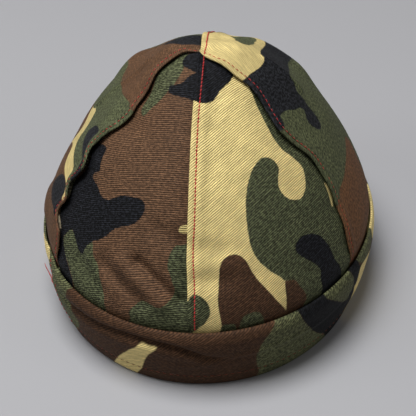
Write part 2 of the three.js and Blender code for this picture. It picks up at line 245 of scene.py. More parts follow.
# %% Chart the patches of the back left panel
BACK_LEFT = {  # mm to the right of the panel's middle line, mm up from the band
    "black": (
        [(-31.9, 68.4), (-29.4, 69.4), (-26.3, 70.5), (-23.8, 71.1), (-21.5, 70.9), (-21, 66.5),
         (-19.8, 63.4), (-18.5, 60.9), (-19.8, 59.4), (-22.3, 57.5), (-22.9, 55.5), (-20.3, 54.5),
         (-16.9, 53.9), (-13.8, 52.4), (-10, 51.4), (-6.3, 52), (-3.1, 54.3), (0, 56.8), (3.8, 58.3),
         (8.8, 59.4), (12.5, 59.4), (15, 57.5), (15.8, 54), (14.8, 50.3), (12.3, 46.9), (9.1, 45),
         (5, 42.5), (2.3, 39.6), (0, 36.1), (-3.1, 33), (-6.5, 30.5), (-9, 27.8), (-10.9, 24),
         (-11.9, 21.3), (-13.8, 20.1), (-16.3, 20.8), (-19.4, 23.4), (-22.5, 25.3), (-25, 26.3),
         (-27.3, 25.3), (-29.6, 22.1), (-32.3, 18.4), (-31, 15.5), (-28.1, 12.8), (-24.4, 10.3),
         (-20.6, 7.8), (-17.5, 4.6), (-16.9, 2.1), (-22, -6), (-55, -6), (-60, 20), (-50, 45), (-44, 60),
         (-38, 66)],
        [(-4.4, 134), (-3.8, 130.3), (-1.3, 128.4), (2.5, 127.8), (6.3, 126.8), (14, 127), (16, 142),
         (-4, 143)],
        [(6.3, 125.9), (4.4, 122.8), (3.8, 119.6), (1.3, 117.1), (-1.3, 115.9), (-0.9, 113.4),
         (0.6, 111.9), (10, 111.8), (15, 110.3), (24, 110), (22, 127), (10, 127)],
    ),
    "green": (
        [(-5, 135), (-1.3, 129), (0, 124), (0.3, 116.5), (-0.6, 114), (-1.3, 110.3), (-3.1, 105.3),
         (-5.6, 100.3), (-7.5, 95.9), (-10.6, 95.9), (-12.8, 99), (-13.1, 105.3), (-12.8, 111.5),
         (-16, 120), (-11, 130)],
        [(36.9, 41.9), (35.6, 40.3), (35.3, 36.5), (36.3, 31.5), (38.8, 27.8), (40.6, 24.6), (42.5, 21.5),
         (42.5, 17.8), (40.6, 14), (37.5, 12.1), (32.5, 12.8), (27.5, 12.1), (25, 9), (23.1, 5.3),
         (23.8, 1.5), (22, -8), (60, -8), (62, 16), (60, 32), (60, 43), (45, 43)],
        [(-26.3, 26.3), (-30, 21.5), (-32.3, 18.4), (-31, 15.3), (-27.5, 12.1), (-22.5, 9.6),
         (-18.8, 6.5), (-16.3, 2.8), (-14, -8), (8, -8), (8.1, 5.3), (6.3, 9), (4.4, 12.8), (2.5, 16.5),
         (0, 20.3), (-3.8, 24), (-6.3, 29), (-9.4, 29.6), (-13, 24)],
    ),
    "tan": (
        [(35, 50.3), (35.6, 51.3), (38.8, 51.8), (42, 50.5), (60, 50.5), (60, 48), (42, 48), (36.9, 47.8),
         (35.3, 48.8)],
    ),
}

# %% Chart the patches of the back right panel
BACK_RIGHT = {  # mm to the right of the panel's middle line, mm up from the band
    "black": (
        [(-14.8, 110.5), (-12.5, 109.4), (-10, 109), (-6.9, 109.6), (-3.8, 111.5), (-0.6, 114.3),
         (2.5, 115.9), (6.3, 117.1), (10, 119), (22, 124), (14, 146), (-14, 146), (-24, 128), (-22, 112)],
        [(10.3, 29.9), (11.3, 32.1), (14.4, 33.6), (17.5, 33.6), (21.3, 32.5), (25, 30.5), (28.1, 27.8),
         (30.6, 24), (32.5, 20.3), (33.8, 16.5), (34.6, 12.8), (36.9, 9), (38.8, 4), (39, -6), (22.5, -6),
         (22.5, 2.8), (21.9, 9), (22.8, 12.8), (21.3, 15.9), (18.8, 19), (15.6, 22.1), (12.5, 25.3),
         (10.6, 27.8)],
    ),
    "green": (
        [(16.5, 109.6), (15.6, 105.3), (15.6, 100.3), (16.3, 95.3), (16.5, 89), (17.3, 82.8),
         (18.8, 78.4), (21, 74), (23.8, 70.3), (26.3, 66.5), (28.5, 62.8), (29.1, 59.6), (28.1, 55.3),
         (26, 52.1), (22.5, 50.3), (20, 50.3), (15.6, 52.1), (12.5, 55.3), (10.9, 59), (10.9, 61.5),
         (12.5, 65.3), (14.1, 67.8), (13.8, 70.9), (11.9, 74), (8.1, 76.3), (5, 75.9), (1.3, 74),
         (-1.9, 70.9), (-5, 66.5), (-8.1, 60.3), (-10, 54), (-11.3, 47.8), (-12.1, 41.5), (-11.9, 36.5),
         (-10.4, 31.5), (-8.1, 27.8), (-5, 24), (-1.9, 20.9), (0.6, 17.8), (5, 16.5), (6.9, 14.6),
         (8.1, 11.5), (10, 8.4), (11.3, 4), (12, -8), (70, -8), (70, 40), (50, 80), (28, 112)],
        [(-25.6, 2.8), (-24.4, 5.3), (-22.5, 7.1), (-17.5, 7.5), (-15, 5.9), (-13.8, 2.1), (-14, -6),
         (-26, -6)],
        [(-34.4, 2.8), (-31, 3.4), (-28, 2.5), (-28, -6), (-35, -6)],
        [(-48.1, 16.5), (-46.3, 18.4), (-43.8, 20), (-41.3, 19.3), (-39.4, 16.5), (-38.5, 12.8),
         (-39.4, 9), (-41.6, 5.9), (-44.6, 2.8), (-48.5, -1), (-52, -6), (-64, -6), (-64, 14), (-56, 16)],
    ),
    "brown": (
        [(0.6, 17.8), (5, 18.5), (10, 15), (14, 8), (15, -8), (-1.3, -8), (-1.3, 2.8), (-0.6, 9)],
        [(-34.4, -8), (-34.4, 2.8), (-34.6, 10.3), (-34, 16.5), (-32.5, 21.5), (-30.6, 27.8),
         (-29.4, 31.5), (-27.5, 34.6), (-24.4, 36.5), (-20.6, 36.9), (-18.1, 35.5), (-16.3, 32.8),
         (-15, 27.8), (-13.1, 22.8), (-10.6, 18.4), (-8.1, 14), (-5, 8.4), (-1.9, 2.8), (-1, -8)],
    ),
    "cut": (
        [(42.5, 47.1), (44.4, 45.3), (45.4, 41.5), (46.3, 38.4), (45, 34.6), (43.1, 35.3), (42.9, 39),
         (42.3, 44)],
    ),
}

# %% Chart the patches of the front panels
FRONT_LEFT = {  # mm to the right of the panel's middle line, mm up from the band
    "green": (
        [(-14, 70), (-8, 82), (-1, 87.5), (6.9, 86.5), (15.6, 88.2), (24.6, 90.5), (33.3, 93.3),
         (41.9, 95), (48.1, 94), (60, 93), (76, 80), (92, 60), (94, 42), (84, 36.5), (76, 41), (66, 47),
         (50, 48), (43, 48.6), (38, 50.5), (34.5, 54), (32, 57), (29.8, 59.5), (27.5, 61.5), (22, 64),
         (16, 62), (12.5, 56), (8, 50), (0, 50), (-8, 58)],
        [(-104, 30), (-90, 36), (-84, 46), (-74, 50), (-64, 44), (-60, 36), (-50, 34), (-44, 24),
         (-50, 14), (-60, 14), (-68, 6), (-80, 2), (-88, 8), (-104, 6)],
        [(-46, 92), (-40, 102), (-30, 110), (-22, 106), (-24, 97), (-16, 90), (-18, 80), (-28, 78),
         (-34, 86), (-42, 84)],
        [(-36, 22), (-28, 30), (-18, 28), (-10, 34), (0, 32), (6, 24), (4, 14), (10, 6), (6, -8),
         (-30, -8), (-30, 4), (-38, 12)],
    ),
    "tan": (
        [(14, 66), (22, 71), (30, 69), (34, 63), (38, 57), (44, 52), (52, 50), (60, 49), (65.1, 48),
         (70.9, 45.2), (76, 41.9), (80, 38.5), (83.9, 37.3), (85.8, 33.4), (84, 31.7), (80.3, 35.6),
         (77.1, 37.5), (69.9, 37.9), (62.7, 37.9), (55.3, 38.5), (49, 41), (43.6, 43.5), (38, 43),
         (32, 39), (24, 38), (14, 44), (6, 50), (8, 58)],
        [(-64, 66), (-52, 74), (-40, 72), (-34, 62), (-38, 50), (-30, 42), (-20, 40), (-18, 34),
         (-30, 32), (-44, 38), (-52, 50), (-62, 56)],
    ),
    "black": (
        [(44, 68), (47, 71), (51.2, 72.2), (55, 71.5), (56, 67.3), (58.2, 64.5), (61.2, 62.2),
         (66.7, 60.5), (72.1, 57.5), (78, 54), (80, 50), (80, 44), (75, 46), (73.4, 52), (68.9, 54.9),
         (62.9, 56.6), (54.3, 57.5), (47, 58.5), (43, 61.6)],
        [(59.9, 31.1), (61, 34.5), (63.3, 36.2), (67, 37.3), (71.6, 37.3), (77.6, 36.3), (80.4, 33.9),
         (83.1, 31.1), (86, 27), (90, 22.5), (86, 20.5), (80.8, 22), (72.8, 21.5), (64.7, 22.6),
         (60.6, 26)],
        [(-4, 131), (-3.5, 125), (-5, 120), (-6.5, 115), (-9, 110), (-12, 104), (-18, 98), (-28, 104),
         (-24, 118), (-14, 130)],
        [(-30, 78), (-22, 72), (-12, 74), (-8, 66), (-12, 58), (-20, 58), (-27, 62), (-34, 68)],
        [(-84, 74), (-70, 62), (-70, 52), (-84, 50), (-98, 60)],
    ),
}
FRONT_RIGHT = {  # mm to the right of the panel's middle line, mm up from the band
    "tan": (
        [(-30, 111.5), (-22, 111.5), (-17.4, 110.5), (-12.7, 109), (-8.6, 108.3), (-4, 109), (2.3, 107),
         (12, 98.5), (19, 90.5), (27, 84), (34, 82), (40, 90), (34, 110), (20, 146), (-20, 146),
         (-34, 124)],
        [(56, 32), (62, 41), (70, 40), (76, 34), (84, 36), (92, 44), (104, 42), (104, 22), (94, 12),
         (86, 4), (76, 6), (72, 14), (64, 18), (58, 24)],
    ),
    "black": (
        [(-60, 84), (-52, 84), (-47, 88), (-42, 88.5), (-38, 87), (-35, 84), (-31, 82), (-31, 79),
         (-34, 77), (-38, 74), (-39, 70), (-38, 66), (-35, 65), (-31, 67), (-28, 71), (-25, 77),
         (-22, 82), (-20, 87), (-16.2, 90), (-12.4, 94.5), (-5, 92), (3.6, 88.2), (9, 85), (13.8, 80.9),
         (22, 72), (30, 66), (36, 72), (30, 84), (21, 92.2), (13.4, 100.1), (7, 106), (2.3, 109.7),
         (-1.5, 111.5), (-4.6, 112), (-6.2, 110.9), (-8.6, 110.3), (-12.7, 110.9), (-17.4, 112.5),
         (-22, 113.7), (-26.6, 113.7), (-40, 113), (-64, 100)],
        [(12, 40), (18, 46), (26, 47), (31, 54), (38, 58), (44, 52), (42, 44), (47, 36), (45, 28),
         (38, 24), (33, 30), (26, 26), (19, 20), (14, 24), (17, 32)],
    ),
    "brown": (
        [(-110, 38), (-80, 34), (-75, 35), (-66, 37.5), (-55, 38.5), (-45, 40), (-35, 41), (-25, 41.5),
         (-20, 41), (-17, 38), (-16, 33), (-22, 20), (-24, -8), (-112, -8)],
        [(34, 72), (42, 78), (50, 74), (58, 78), (66, 70), (70, 58), (64, 48), (54, 50), (49, 58),
         (40, 60), (34, 65)],
        [(6, -8), (8, 6), (14, 13), (22, 11), (28, 17), (38, 19), (46, 12), (52, 4), (50, -8)],
    ),
    "top": (
        [(17, 113), (10, 118.5), (5, 120.5), (3.3, 119), (3.8, 116), (7.6, 112), (13, 106), (18.7, 100.7),
         (23.6, 95), (28, 92), (34, 92), (30, 102), (22, 110)],
    ),
}

# %% Measure how far each place of the cloth lies inside a colour
FAR_OUTSIDE = -9.0  # mm, the farthest that is measured
EDGE_STEPS = 5  # places on an edge from one charted point to the next
BATCH = 4000  # places measured at a time, to spare memory


def inside_by(x, y, outline):
    """Signed distance in mm from places of the flat cloth to a patch's edge, positive inside."""
    edge = smooth_through(outline, EDGE_STEPS, closed=True)
    ahead = np.roll(edge, -1, 0)
    run = ahead - edge
    places = np.stack([x.ravel(), y.ravel()], -1)
    signed = np.full(len(places), FAR_OUTSIDE)
    low, high = edge.min(0) + FAR_OUTSIDE, edge.max(0) - FAR_OUTSIDE
    near = np.flatnonzero(((places > low) & (places < high)).all(1))
    for part in np.array_split(near, max(1, len(near) // BATCH)):
        to_place = places[part, None] - edge
        along = np.clip((to_place * run).sum(-1) / (run * run).sum(-1), 0, 1)
        distance = np.linalg.norm(to_place - along[..., None] * run, axis=-1).min(1)
        rising = (edge[:, 1] <= places[part, 1:2]) != (ahead[:, 1] <= places[part, 1:2])
        climb = np.where(run[:, 1] == 0, 1e-9, run[:, 1])  # a level run is never crossed
        slope = (places[part, 1:2] - edge[:, 1]) / climb
        crossings = (rising & (places[part, :1] < edge[:, 0] + slope * run[:, 0])).sum(1)
        signed[part] = np.where(crossings % 2 == 1, distance, -distance)
    return np.maximum(signed, FAR_OUTSIDE).reshape(x.shape)


def print_layers(x, y, chart, ground):
    """For each printed colour, how far the places lie inside it. The ground fills what the others leave.

    A chart's "top" is green that lies over the tan, and its "cut" is left open in the green.
    """
    layers = {}
    for colour in ("tan", "brown", "green", "black", "top", "cut"):
        patches = [inside_by(x, y, outline) for outline in chart.get(colour, ())]
        layers[colour] = np.max(patches, axis=0) if patches else np.full(x.shape, FAR_OUTSIDE)
    if ground == "tan":
        layers["tan"] = np.full(x.shape, -FAR_OUTSIDE)
    if ground == "green":
        layers["green"] = -np.maximum(layers["tan"], layers["brown"])
    layers["green"] = np.maximum(np.minimum(layers["green"], -layers["cut"]), layers["top"])
    return {f"print_{colour}": layers[colour] for colour in ("tan", "brown", "green", "black")}


# %% [markdown]
# ## Sewn edges
# Where two panels meet, the allowance of one is folded under, laid over its neighbour and topstitched.
# The fold is a small round edge, then a double thickness, a groove where the stitches pull it down, and a
# slope at the raw edge underneath. One table holds that section, and both sides of a seam are built from
# it, so the shadow under the fold is real. The side seams also gape and pucker, because they were sewn on
# the curve.

# %% Draw the sections of the sewn edges
LAP_SECTION = np.array((  # mm of cloth from the fold, mm into the panel, mm above the dome
    (-3.6, 3.2, 0.3), (-2.4, 2.0, 0.22), (-1.4, 1.0, 0.2), (-0.8, 0.45, 0.26), (-0.4, 0.12, 0.45),
    (0, 0, 0.72), (0.35, 0.08, 1.0), (0.8, 0.4, 1.25), (1.4, 1.0, 1.36), (2.0, 1.6, 1.32),
    (2.5, 2.1, 1.2), (2.9, 2.5, 1.0), (3.3, 2.9, 0.84), (3.7, 3.3, 0.84), (4.2, 3.8, 1.02),
    (4.9, 4.5, 1.22), (5.7, 5.4, 1.24), (6.5, 6.3, 1.1), (7.3, 7.15, 0.8), (8.2, 8.1, 0.46),
    (9.2, 9.15, 0.2), (10.5, 10.5, 0.06), (12, 12, 0),
))
UNDER_SECTION = np.array((  # the same three columns
    (-3, -3, -0.5), (-2.2, -2.2, -0.5), (-1.5, -1.5, -0.5), (-0.8, -0.8, -0.48), (-0.2, -0.2, -0.44),
    (0.6, 0.6, -0.36), (1.4, 1.4, -0.27), (2.3, 2.3, -0.17), (3.3, 3.3, -0.08), (4.4, 4.4, -0.02),
    (5.6, 5.6, 0), (6.8, 6.8, 0), (8, 8, 0), (9.2, 9.2, 0), (10.6, 10.6, 0), (12, 12, 0),
))
SECTION_REACH = 12.0  # mm over which a sewn edge differs from the dome
LAP_INNER, UNDER_INNER = 3.4, -3.0  # mm into the panel at which its wrong side begins
WIDE_ENOUGH = 26.0  # below this width, near the apex, the sections narrow with the panel

# %% Lay out the seams and the panels between them
SEAM_COURSES = {  # share up, angle
    "back": ((0, 0.75), (0.12, 0.75), (0.2, 0.45), (0.27, 0.05), (0.37, 0), (0.55, -0.5), (0.7, -1.1),
             (0.8, -1.2), (0.9, -0.8), (1, 0)),
    "right": ((0, 68), (0.1, 68.5), (0.2, 70.2), (0.31, 71.7), (0.4, 72.4), (0.46, 70.5), (0.545, 65.8),
              (0.6, 63.2), (0.64, 64), (0.7, 66.7), (0.79, 67.4), (0.85, 63.3), (0.9, 58.5), (0.935, 50),
              (0.963, 42), (1, 36)),
    "front": ((0, 180), (0.5, 180.5), (0.8, 185), (0.9, 185), (0.96, 182), (1, 180)),
    "left": ((0, -58), (0.05, -58.3), (0.1, -59), (0.14, -60.6), (0.165, -65.5), (0.195, -67.5),
             (0.25, -64.8), (0.305, -68), (0.345, -66.3), (0.405, -63.8), (0.455, -68.7), (0.5, -67.4),
             (0.57, -62.2), (0.62, -60.2), (0.66, -59.2), (0.69, -61), (0.744, -63.6), (0.784, -65.6),
             (0.84, -74), (0.88, -81), (0.916, -87), (0.964, -97), (1, -100)),
}
SEAM_GAPE = {  # share up, mm that the fold stands open
    "back": ((0, 0), (0.1, 0.2), (0.3, 0.3), (0.45, 0), (1, 0)),
    "front": ((0, 0), (1, 0)),
    "right": ((0, 0), (0.15, 0.1), (0.4, 0.2), (0.55, 0.3), (0.75, 0.3), (1, 0)),
    "left": ((0, 0), (0.05, 0.3), (0.12, 0.3), (0.2, 0.7), (0.3, 1.0), (0.4, 1.0), (0.5, 0.4),
             (0.65, 0.3), (0.8, 0.3), (1, 0)),
}
SEAM_HOLLOW = {  # share up, mm that the cloth below the fold sinks
    "back": ((0, 0.2), (0.1, 1.1), (0.3, 1.6), (0.42, 0.7), (0.6, 0.3), (1, 0)),
    "front": ((0, 0), (1, 0)),
    "right": ((0, 0.1), (0.4, 0.4), (0.55, 0.7), (0.75, 0.6), (0.92, 0.5), (1, 0)),
    "left": ((0, 0.3), (0.12, 0.4), (0.2, 1.0), (0.3, 1.6), (0.4, 1.6), (0.5, 0.8), (0.65, 0.7),
             (0.8, 0.7), (0.93, 0.5), (1, 0)),
}
SEAM_PUCKER = {  # mm high, mm from one pucker to the next
    "back": (0.12, 17.0), "front": (0.15, 19.0), "right": (0.35, 21.0), "left": (0.5, 19.0),
}
PANELS = {  # start seam, end seam, whether the panel laps over each, middle angle, grain, chart, ground
    "crown_panel_back_right": ("back", "right", True, False, 35, 20, BACK_RIGHT, "tan"),
    "crown_panel_front_right": ("right", "front", True, True, 125, 22, FRONT_RIGHT, "green"),
    "crown_panel_front_left": ("front", "left", False, True, -125, 22, FRONT_LEFT, "brown"),
    "crown_panel_back_left": ("left", "back", False, False, -35, 24, BACK_LEFT, "brown"),
}
PUCKER_REACH, OPENING_REACH = 11, 5  # mm from the seam
PUCKER_START = 1.1  # radians


def seam_angles(panel, up):
    """The angles of a panel's start and end seams at each share up."""
    courses = (SEAM_COURSES[seam] for seam in PANELS[panel][:2])
    start, end = (np.radians(read_table(course, np.maximum(up, 0))) for course in courses)
    return start, np.where(end > start, end, end + 2 * np.pi)


def edge_lift(seam, laps, up, distance, section):
    """Height of the cloth near a seam, where the fold of one side stands open and the other side sinks."""
    high, spacing = SEAM_PUCKER[seam]
    wave = np.sin(2 * np.pi * up * PANEL_LENGTH / spacing + PUCKER_START)
    opening = read_table(SEAM_GAPE[seam], up) if laps else -read_table(SEAM_HOLLOW[seam], up)
    opening = opening * bell(np.maximum(distance, 0), OPENING_REACH)
    return section + opening + high * wave * bell(distance, PUCKER_REACH)


# %% [markdown]
# ## Cloth meshes
# Every sewn piece is one closed skin: a right side, a wrong side and the rounded edges between them. Each
# row of points is a closed loop round the cloth, and the rows are joined into a sleeve whose two ends are
# pinched shut. A Solidify modifier would give a thickness as well, but not a folded edge or a seam
# allowance on the inside.

# %% Make a skin of cloth from rows of closed loops
RIGHT_SIDE, WRONG_SIDE = 0, 1
WELD_DISTANCE = 2e-6  # m


def new_piece(name, points, faces, attributes, sides=None, weld=False):
    """An object with a smooth mesh: points in mm, values on them by name, and each face's material slot."""
    mesh = bpy.data.meshes.new(name)
    mesh.from_pydata(in_frame(points).tolist(), [], faces)
    for label, values in attributes.items():
        kind, field = ("FLOAT_VECTOR", "vector") if values.size > len(points) else ("FLOAT", "value")
        mesh.attributes.new(label, kind, "POINT").data.foreach_set(field, values.astype("f4").ravel())
    if sides is not None:
        mesh.polygons.foreach_set("material_index", sides.astype("i4"))
    mesh.polygons.foreach_set("use_smooth", np.ones(len(faces), bool))
    shape = bmesh.new()
    shape.from_mesh(mesh)
    if weld:
        bmesh.ops.remove_doubles(shape, verts=shape.verts, dist=WELD_DISTANCE)
    bmesh.ops.recalc_face_normals(shape, faces=shape.faces)
    shape.to_mesh(mesh)
    shape.free()
    piece = bpy.data.objects.new(name, mesh)
    bpy.context.scene.collection.objects.link(piece)
    return piece


def cloth_mesh(name, loops, attributes, printed=None):
    """A closed skin from loops[row][place]. Its first `printed` places, or all, are the right side."""
    rows, places = loops.shape[:2]
    number = np.arange(rows * places).reshape(rows, places)
    across = np.roll(number, -1, 1)
    faces = np.stack([number[:-1], across[:-1], across[1:], number[1:]], -1).reshape(-1, 4)
    right_side = np.arange(places) < (printed or places)
    both = right_side & np.roll(right_side, -1)
    sides = np.tile(np.where(both, RIGHT_SIDE, WRONG_SIDE), rows - 1)
    return new_piece(name, loops.reshape(-1, 3), faces.tolist(), attributes, sides, weld=True)


def weave_places(x, y, grain):
    """Flat places turned so that their first coordinate runs across the twill's ribs."""
    turn = np.radians(grain)
    return np.stack([y * np.cos(turn) - x * np.sin(turn), x * np.cos(turn) + y * np.sin(turn), 0 * x], -1)


# %% [markdown]
# ## The crown
# Each panel runs from seam to seam and from its raw edge inside the band up to the apex. The grid is
# about a millimetre fine, which is what a print edge or a pucker needs, and far coarser than the weave,
# which is left to the shader. The panel's wrong side lies one ply below, so the inside of the cap is
# cloth as well.

# %% Cut and sew the crown panels
PANEL_ROWS = 134
ROW_CROWDING = 1.03  # above 1, the rows lie closer at the band
TUCKED_ROWS, LAST_ROW = (-1, -0.55, -0.15), 0.9975  # shares up
MIDDLE_STEP = 1.15  # mm between columns where a panel is widest
APEX_HEIGHT = 0.2  # mm by which the gathered folds stand above the dome at the apex
APEX_GATHER = (0.95, 1.0)  # stretch of up over which the sections run together
TUCK_DIP, DIP_FADE = 0.9, (-0.01, 0.03)  # mm, stretch of up over which the cloth rises out of the band


def panel_columns(panel, up):
    """A panel row by row: its start and size, and along it the cloth's places and the sections' heights."""
    start, end = seam_angles(panel, up)
    reach = crown_reach((start + end) / 2, up)
    width = (end - start) * reach
    first, last = (LAP_SECTION if laps else UNDER_SECTION for laps in PANELS[panel][2:4])
    narrow = np.minimum(width / WIDE_ENOUGH, 1)[:, None]
    middle = np.linspace(0, 1, int(width.max() / MIDDLE_STEP))[None, 1:-1]
    inner_width = width[:, None] - 2 * SECTION_REACH * narrow
    between = SECTION_REACH * narrow + inner_width * middle
    cloth, into = (
        np.hstack([first[None, :, i] * narrow, between, width[:, None] - last[None, ::-1, i] * narrow])
        for i in (0, 1)
    )
    flat = np.zeros_like(between)
    start_height = np.hstack([first[None, :, 2] + 0 * narrow, flat, 0 * last[None, :, 2] * narrow])
    end_height = np.hstack([0 * first[None, :, 2] * narrow, flat, last[None, ::-1, 2] + 0 * narrow])
    return start, reach, width, narrow, cloth, into, start_height, end_height


def chart_places(panel, up, cloth_angle):
    """Places of the cloth on the panel's chart, and on its flat pattern, which has a straight grain."""
    middle = np.radians(PANELS[panel][4])
    turned = (cloth_angle - middle + np.pi) % (2 * np.pi) - np.pi
    x = turned * crown_reach(middle, up)[:, None]
    y = np.where(up < 0, up * TUCK_DEPTH, up * PANEL_LENGTH)[:, None] + 0 * x
    from_apex = np.maximum(PANEL_LENGTH - y, 1e-3)
    flat_turn = x / from_apex
    return x, y, from_apex * np.sin(flat_turn), PANEL_LENGTH - from_apex * np.cos(flat_turn)


def sew_panel(panel):
    """One panel: its right side, its wrong side a ply below, and its print and weave on the vertices."""
    start_seam, end_seam, laps_start, laps_end, _, grain, chart, ground = PANELS[panel]
    up = np.r_[TUCKED_ROWS, (np.arange(PANEL_ROWS) / PANEL_ROWS) ** ROW_CROWDING, LAST_ROW]
    start, reach, width, narrow, cloth, into, start_height, end_height = panel_columns(panel, up)
    rows_up = up[:, None] + 0 * into
    angle = start[:, None] + into / reach[:, None]
    base, normal = crown_point(angle, rows_up), crown_normal(angle, rows_up)
    fade = smoothstep(rows_up, *FOLD_FADE)
    height = edge_lift(start_seam, laps_start, rows_up, into / narrow, start_height)
    height = height + edge_lift(end_seam, laps_end, rows_up, (width[:, None] - into) / narrow, end_height)
    gather = smoothstep(rows_up, *APEX_GATHER)
    height = height * fade * (1 - gather) + APEX_HEIGHT * gather
    folds = fold_lift(base, rows_up)
    dip = -TUCK_DIP * (1 - smoothstep(rows_up, *DIP_FADE))
    outer = base + normal * (folds + dip + height)[..., None]
    first_inner, last_inner = (LAP_INNER if laps else UNDER_INNER for laps in (laps_start, laps_end))
    steady = np.clip(into, first_inner * narrow, width[:, None] - last_inner * narrow)
    inner_angle = start[:, None] + steady / reach[:, None]
    allowance = np.minimum(height, 0) * fade
    inner = crown_point(inner_angle, rows_up) + normal * (folds + dip - PLY + allowance)[..., None]
    pinched = (outer + inner) / 2
    raw_edge = np.concatenate([pinched[:1], pinched[:1, ::-1]], axis=1)
    tip = np.broadcast_to(crown_point(np.float64(0), np.float64(1)) + (0, 0, APEX_HEIGHT), raw_edge.shape)
    loops = np.concatenate([raw_edge, np.concatenate([outer, inner[:, ::-1]], axis=1), tip])

    def on_loops(values):
        """Values of the right side's rows, for the wrong side and both pinched ends too."""
        rows = np.concatenate([values, values[:, ::-1]], axis=1)
        return np.concatenate([rows[:1], rows, rows[-1:]])

    x, y, flat_x, flat_y = chart_places(panel, up, start[:, None] + cloth / reach[:, None])
    attributes = {label: on_loops(values) for label, values in print_layers(x, y, chart, ground).items()}
    attributes["weave"] = on_loops(weave_places(flat_x, flat_y, grain))
    name = panel.replace("crown_panel", "drill_panel")
    return cloth_mesh(name, loops, attributes, printed=outer.shape[1])


crown = {panel: sew_panel(panel) for panel in PANELS}
for panel, piece in crown.items():
    print(piece.name, len(piece.data.polygons), "faces")

# %% [markdown]
# ## The band
# The band is one long strip, folded double and padded, that runs round the head and laps over its own end
# at the left. Its upper part rolls outwards over the seam with the crown, and its lower part leans in to
# the neck. The roll breaks into a crease at the back. The strip is a sleeve again, this time with a row
# for every step round the head.

# %% Shape the band's section and its creases
BAND_SECTIONS = (  # share of the drop, band thicknesses outside the crown
    (0, 0.25), (0.035, 0.62), (0.11, 1.0), (0.19, 1.06), (0.27, 0.99), (0.36, 0.84), (0.46, 0.62),
    (0.57, 0.4), (0.7, 0.05), (0.85, -0.45), (0.95, -0.85), (1, -1.1),
)
CREASE_COURSE = (  # angle, share of the drop
    (-180, 0.4), (-110, 0.36), (-60, 0.32), (-36, 0.27), (-17, 0.2), (-2, 0.25), (8, 0.41), (30, 0.46),
    (70, 0.42), (120, 0.4), (180, 0.4),
)
CREASE_DEPTH = (  # angle, band thicknesses
    (-180, 0.2), (-110, 0.25), (-60, 0.5), (-36, 1.1), (-17, 1.2), (-2, 1.05), (8, 0.6), (16, 0.2),
    (30, 0.05), (70, 0.25), (120, 0.3), (180, 0.2),
)
CREASE_REACH = 0.065  # share of the drop
SNUGNESS = (  # angle, 0 where the band stands out fully and 1 where it is drawn in
    (-180, 0), (-125, 0.5), (-95, 1), (-70, 1), (-45, 0.35), (-22, 0), (22, 0), (50, 0.3), (75, 0.8),
    (100, 0.8), (130, 0.4), (180, 0),
)
SNUG_ROLL, SNUG_FOOT = 0.6, 0.75  # share of the roll lost, and band thicknesses that the foot is drawn in
RIDGE_COURSE = (  # angle, share of the drop
    (-180, 0.62), (-20, 0.6), (2, 0.56), (11, 0.45), (18, 0.4), (33, 0.36), (45, 0.36), (180, 0.5),
)
RIDGE_HEIGHT = (  # angle, band thicknesses
    (-180, 0.05), (-10, 0), (2, 0.12), (18, 0.22), (40, 0.2), (60, 0.05), (180, 0.05),
)
RIDGE_REACH = 0.045  # share of the drop
HEM_DROP, HEM_DEPTH, HEM_REACH = 0.78, 0.1, 0.02  # share of the drop, band thicknesses, share of the drop
WAVE_HEIGHT = 0.05  # band thicknesses
LONG_WAVES, SHORT_WAVES, WAVE_LEAN = 3, 7, 5  # waves round the head, and radians that the short ones lean
WAVE_FADE, FOOT_FADE, DRAW_FADE = (0.1, 0.5), (0.2, 0.9), (0.15, 0.6)  # stretches of the drop
JOIN_ANGLE, JOIN_LAP, JOIN_RISE = -66.0, 9.0, 0.8  # degrees, degrees and mm
JOIN_DRAW = (  # angle, band thicknesses
    (-180, 0), (-98, 0), (-84, 0.05), (-74, 0.15), (-66, 0.5), (-54, 0), (180, 0),
)
BAND_MM_PER_DEGREE = 1.6
BILL_RISE = BILL_THICKNESS + SEWING_GAP
BILL_CLEARANCE = (0.3, 1.3)  # shares of the bill's ease over which the band comes down past its root


def turned_degrees(angle):
    """Radians as degrees between -180 and 180."""
    return (np.degrees(angle) + 180) % 360 - 180


def band_bottom(angle):
    """Height of the band's lower edge, which climbs over the bill's root."""
    past_root = 180 - np.abs(turned_degrees(angle)) - BILL_SPREAD
    low, high = BILL_CLEARANCE
    return BILL_RISE * (1 - smoothstep(past_root, low * BILL_EASE, high * BILL_EASE))


def band_out(angle, drop):
    """How far the band's outer face stands outside the seat on the crown."""
    turn = turned_degrees(angle)
    crease = read_table(CREASE_DEPTH, turn) * bell(drop - read_table(CREASE_COURSE, turn), CREASE_REACH)
    ridge = read_table(RIDGE_HEIGHT, turn) * bell(drop - read_table(RIDGE_COURSE, turn), RIDGE_REACH)
    hem = HEM_DEPTH * bell(drop - HEM_DROP, HEM_REACH)
    short_waves = np.sin(np.radians(turn * SHORT_WAVES) + drop * WAVE_LEAN)
    waves = short_waves * np.sin(np.radians(turn * LONG_WAVES))
    soft = WAVE_HEIGHT * waves * smoothstep(drop, *WAVE_FADE)
    snug = read_table(SNUGNESS, turn)
    full = read_table(BAND_SECTIONS, drop)
    rolled = full - snug * SNUG_ROLL * np.maximum(full - BAND_SECTIONS[0][1], 0)
    foot = snug * SNUG_FOOT * smoothstep(drop, *FOOT_FADE)
    drawn = read_table(JOIN_DRAW, turn) * (1 - smoothstep(drop, *DRAW_FADE))
    return (rolled - foot - drawn - crease * (1 - snug * SNUG_ROLL) + ridge - hem + soft) * BAND_THICKNESS


def band_point(angle, drop, inset, lift=0.0):
    """A place on the band, this many mm inside its outer face and lifted off it by this many."""
    reach = crown_reach(angle, 0 * angle) + SEWING_GAP + band_out(angle, drop) - inset + lift
    height = BAND_HEIGHT + (band_bottom(angle) - BAND_HEIGHT) * drop
    return np.stack([reach * np.sin(angle), -reach * np.cos(angle), height], -1)


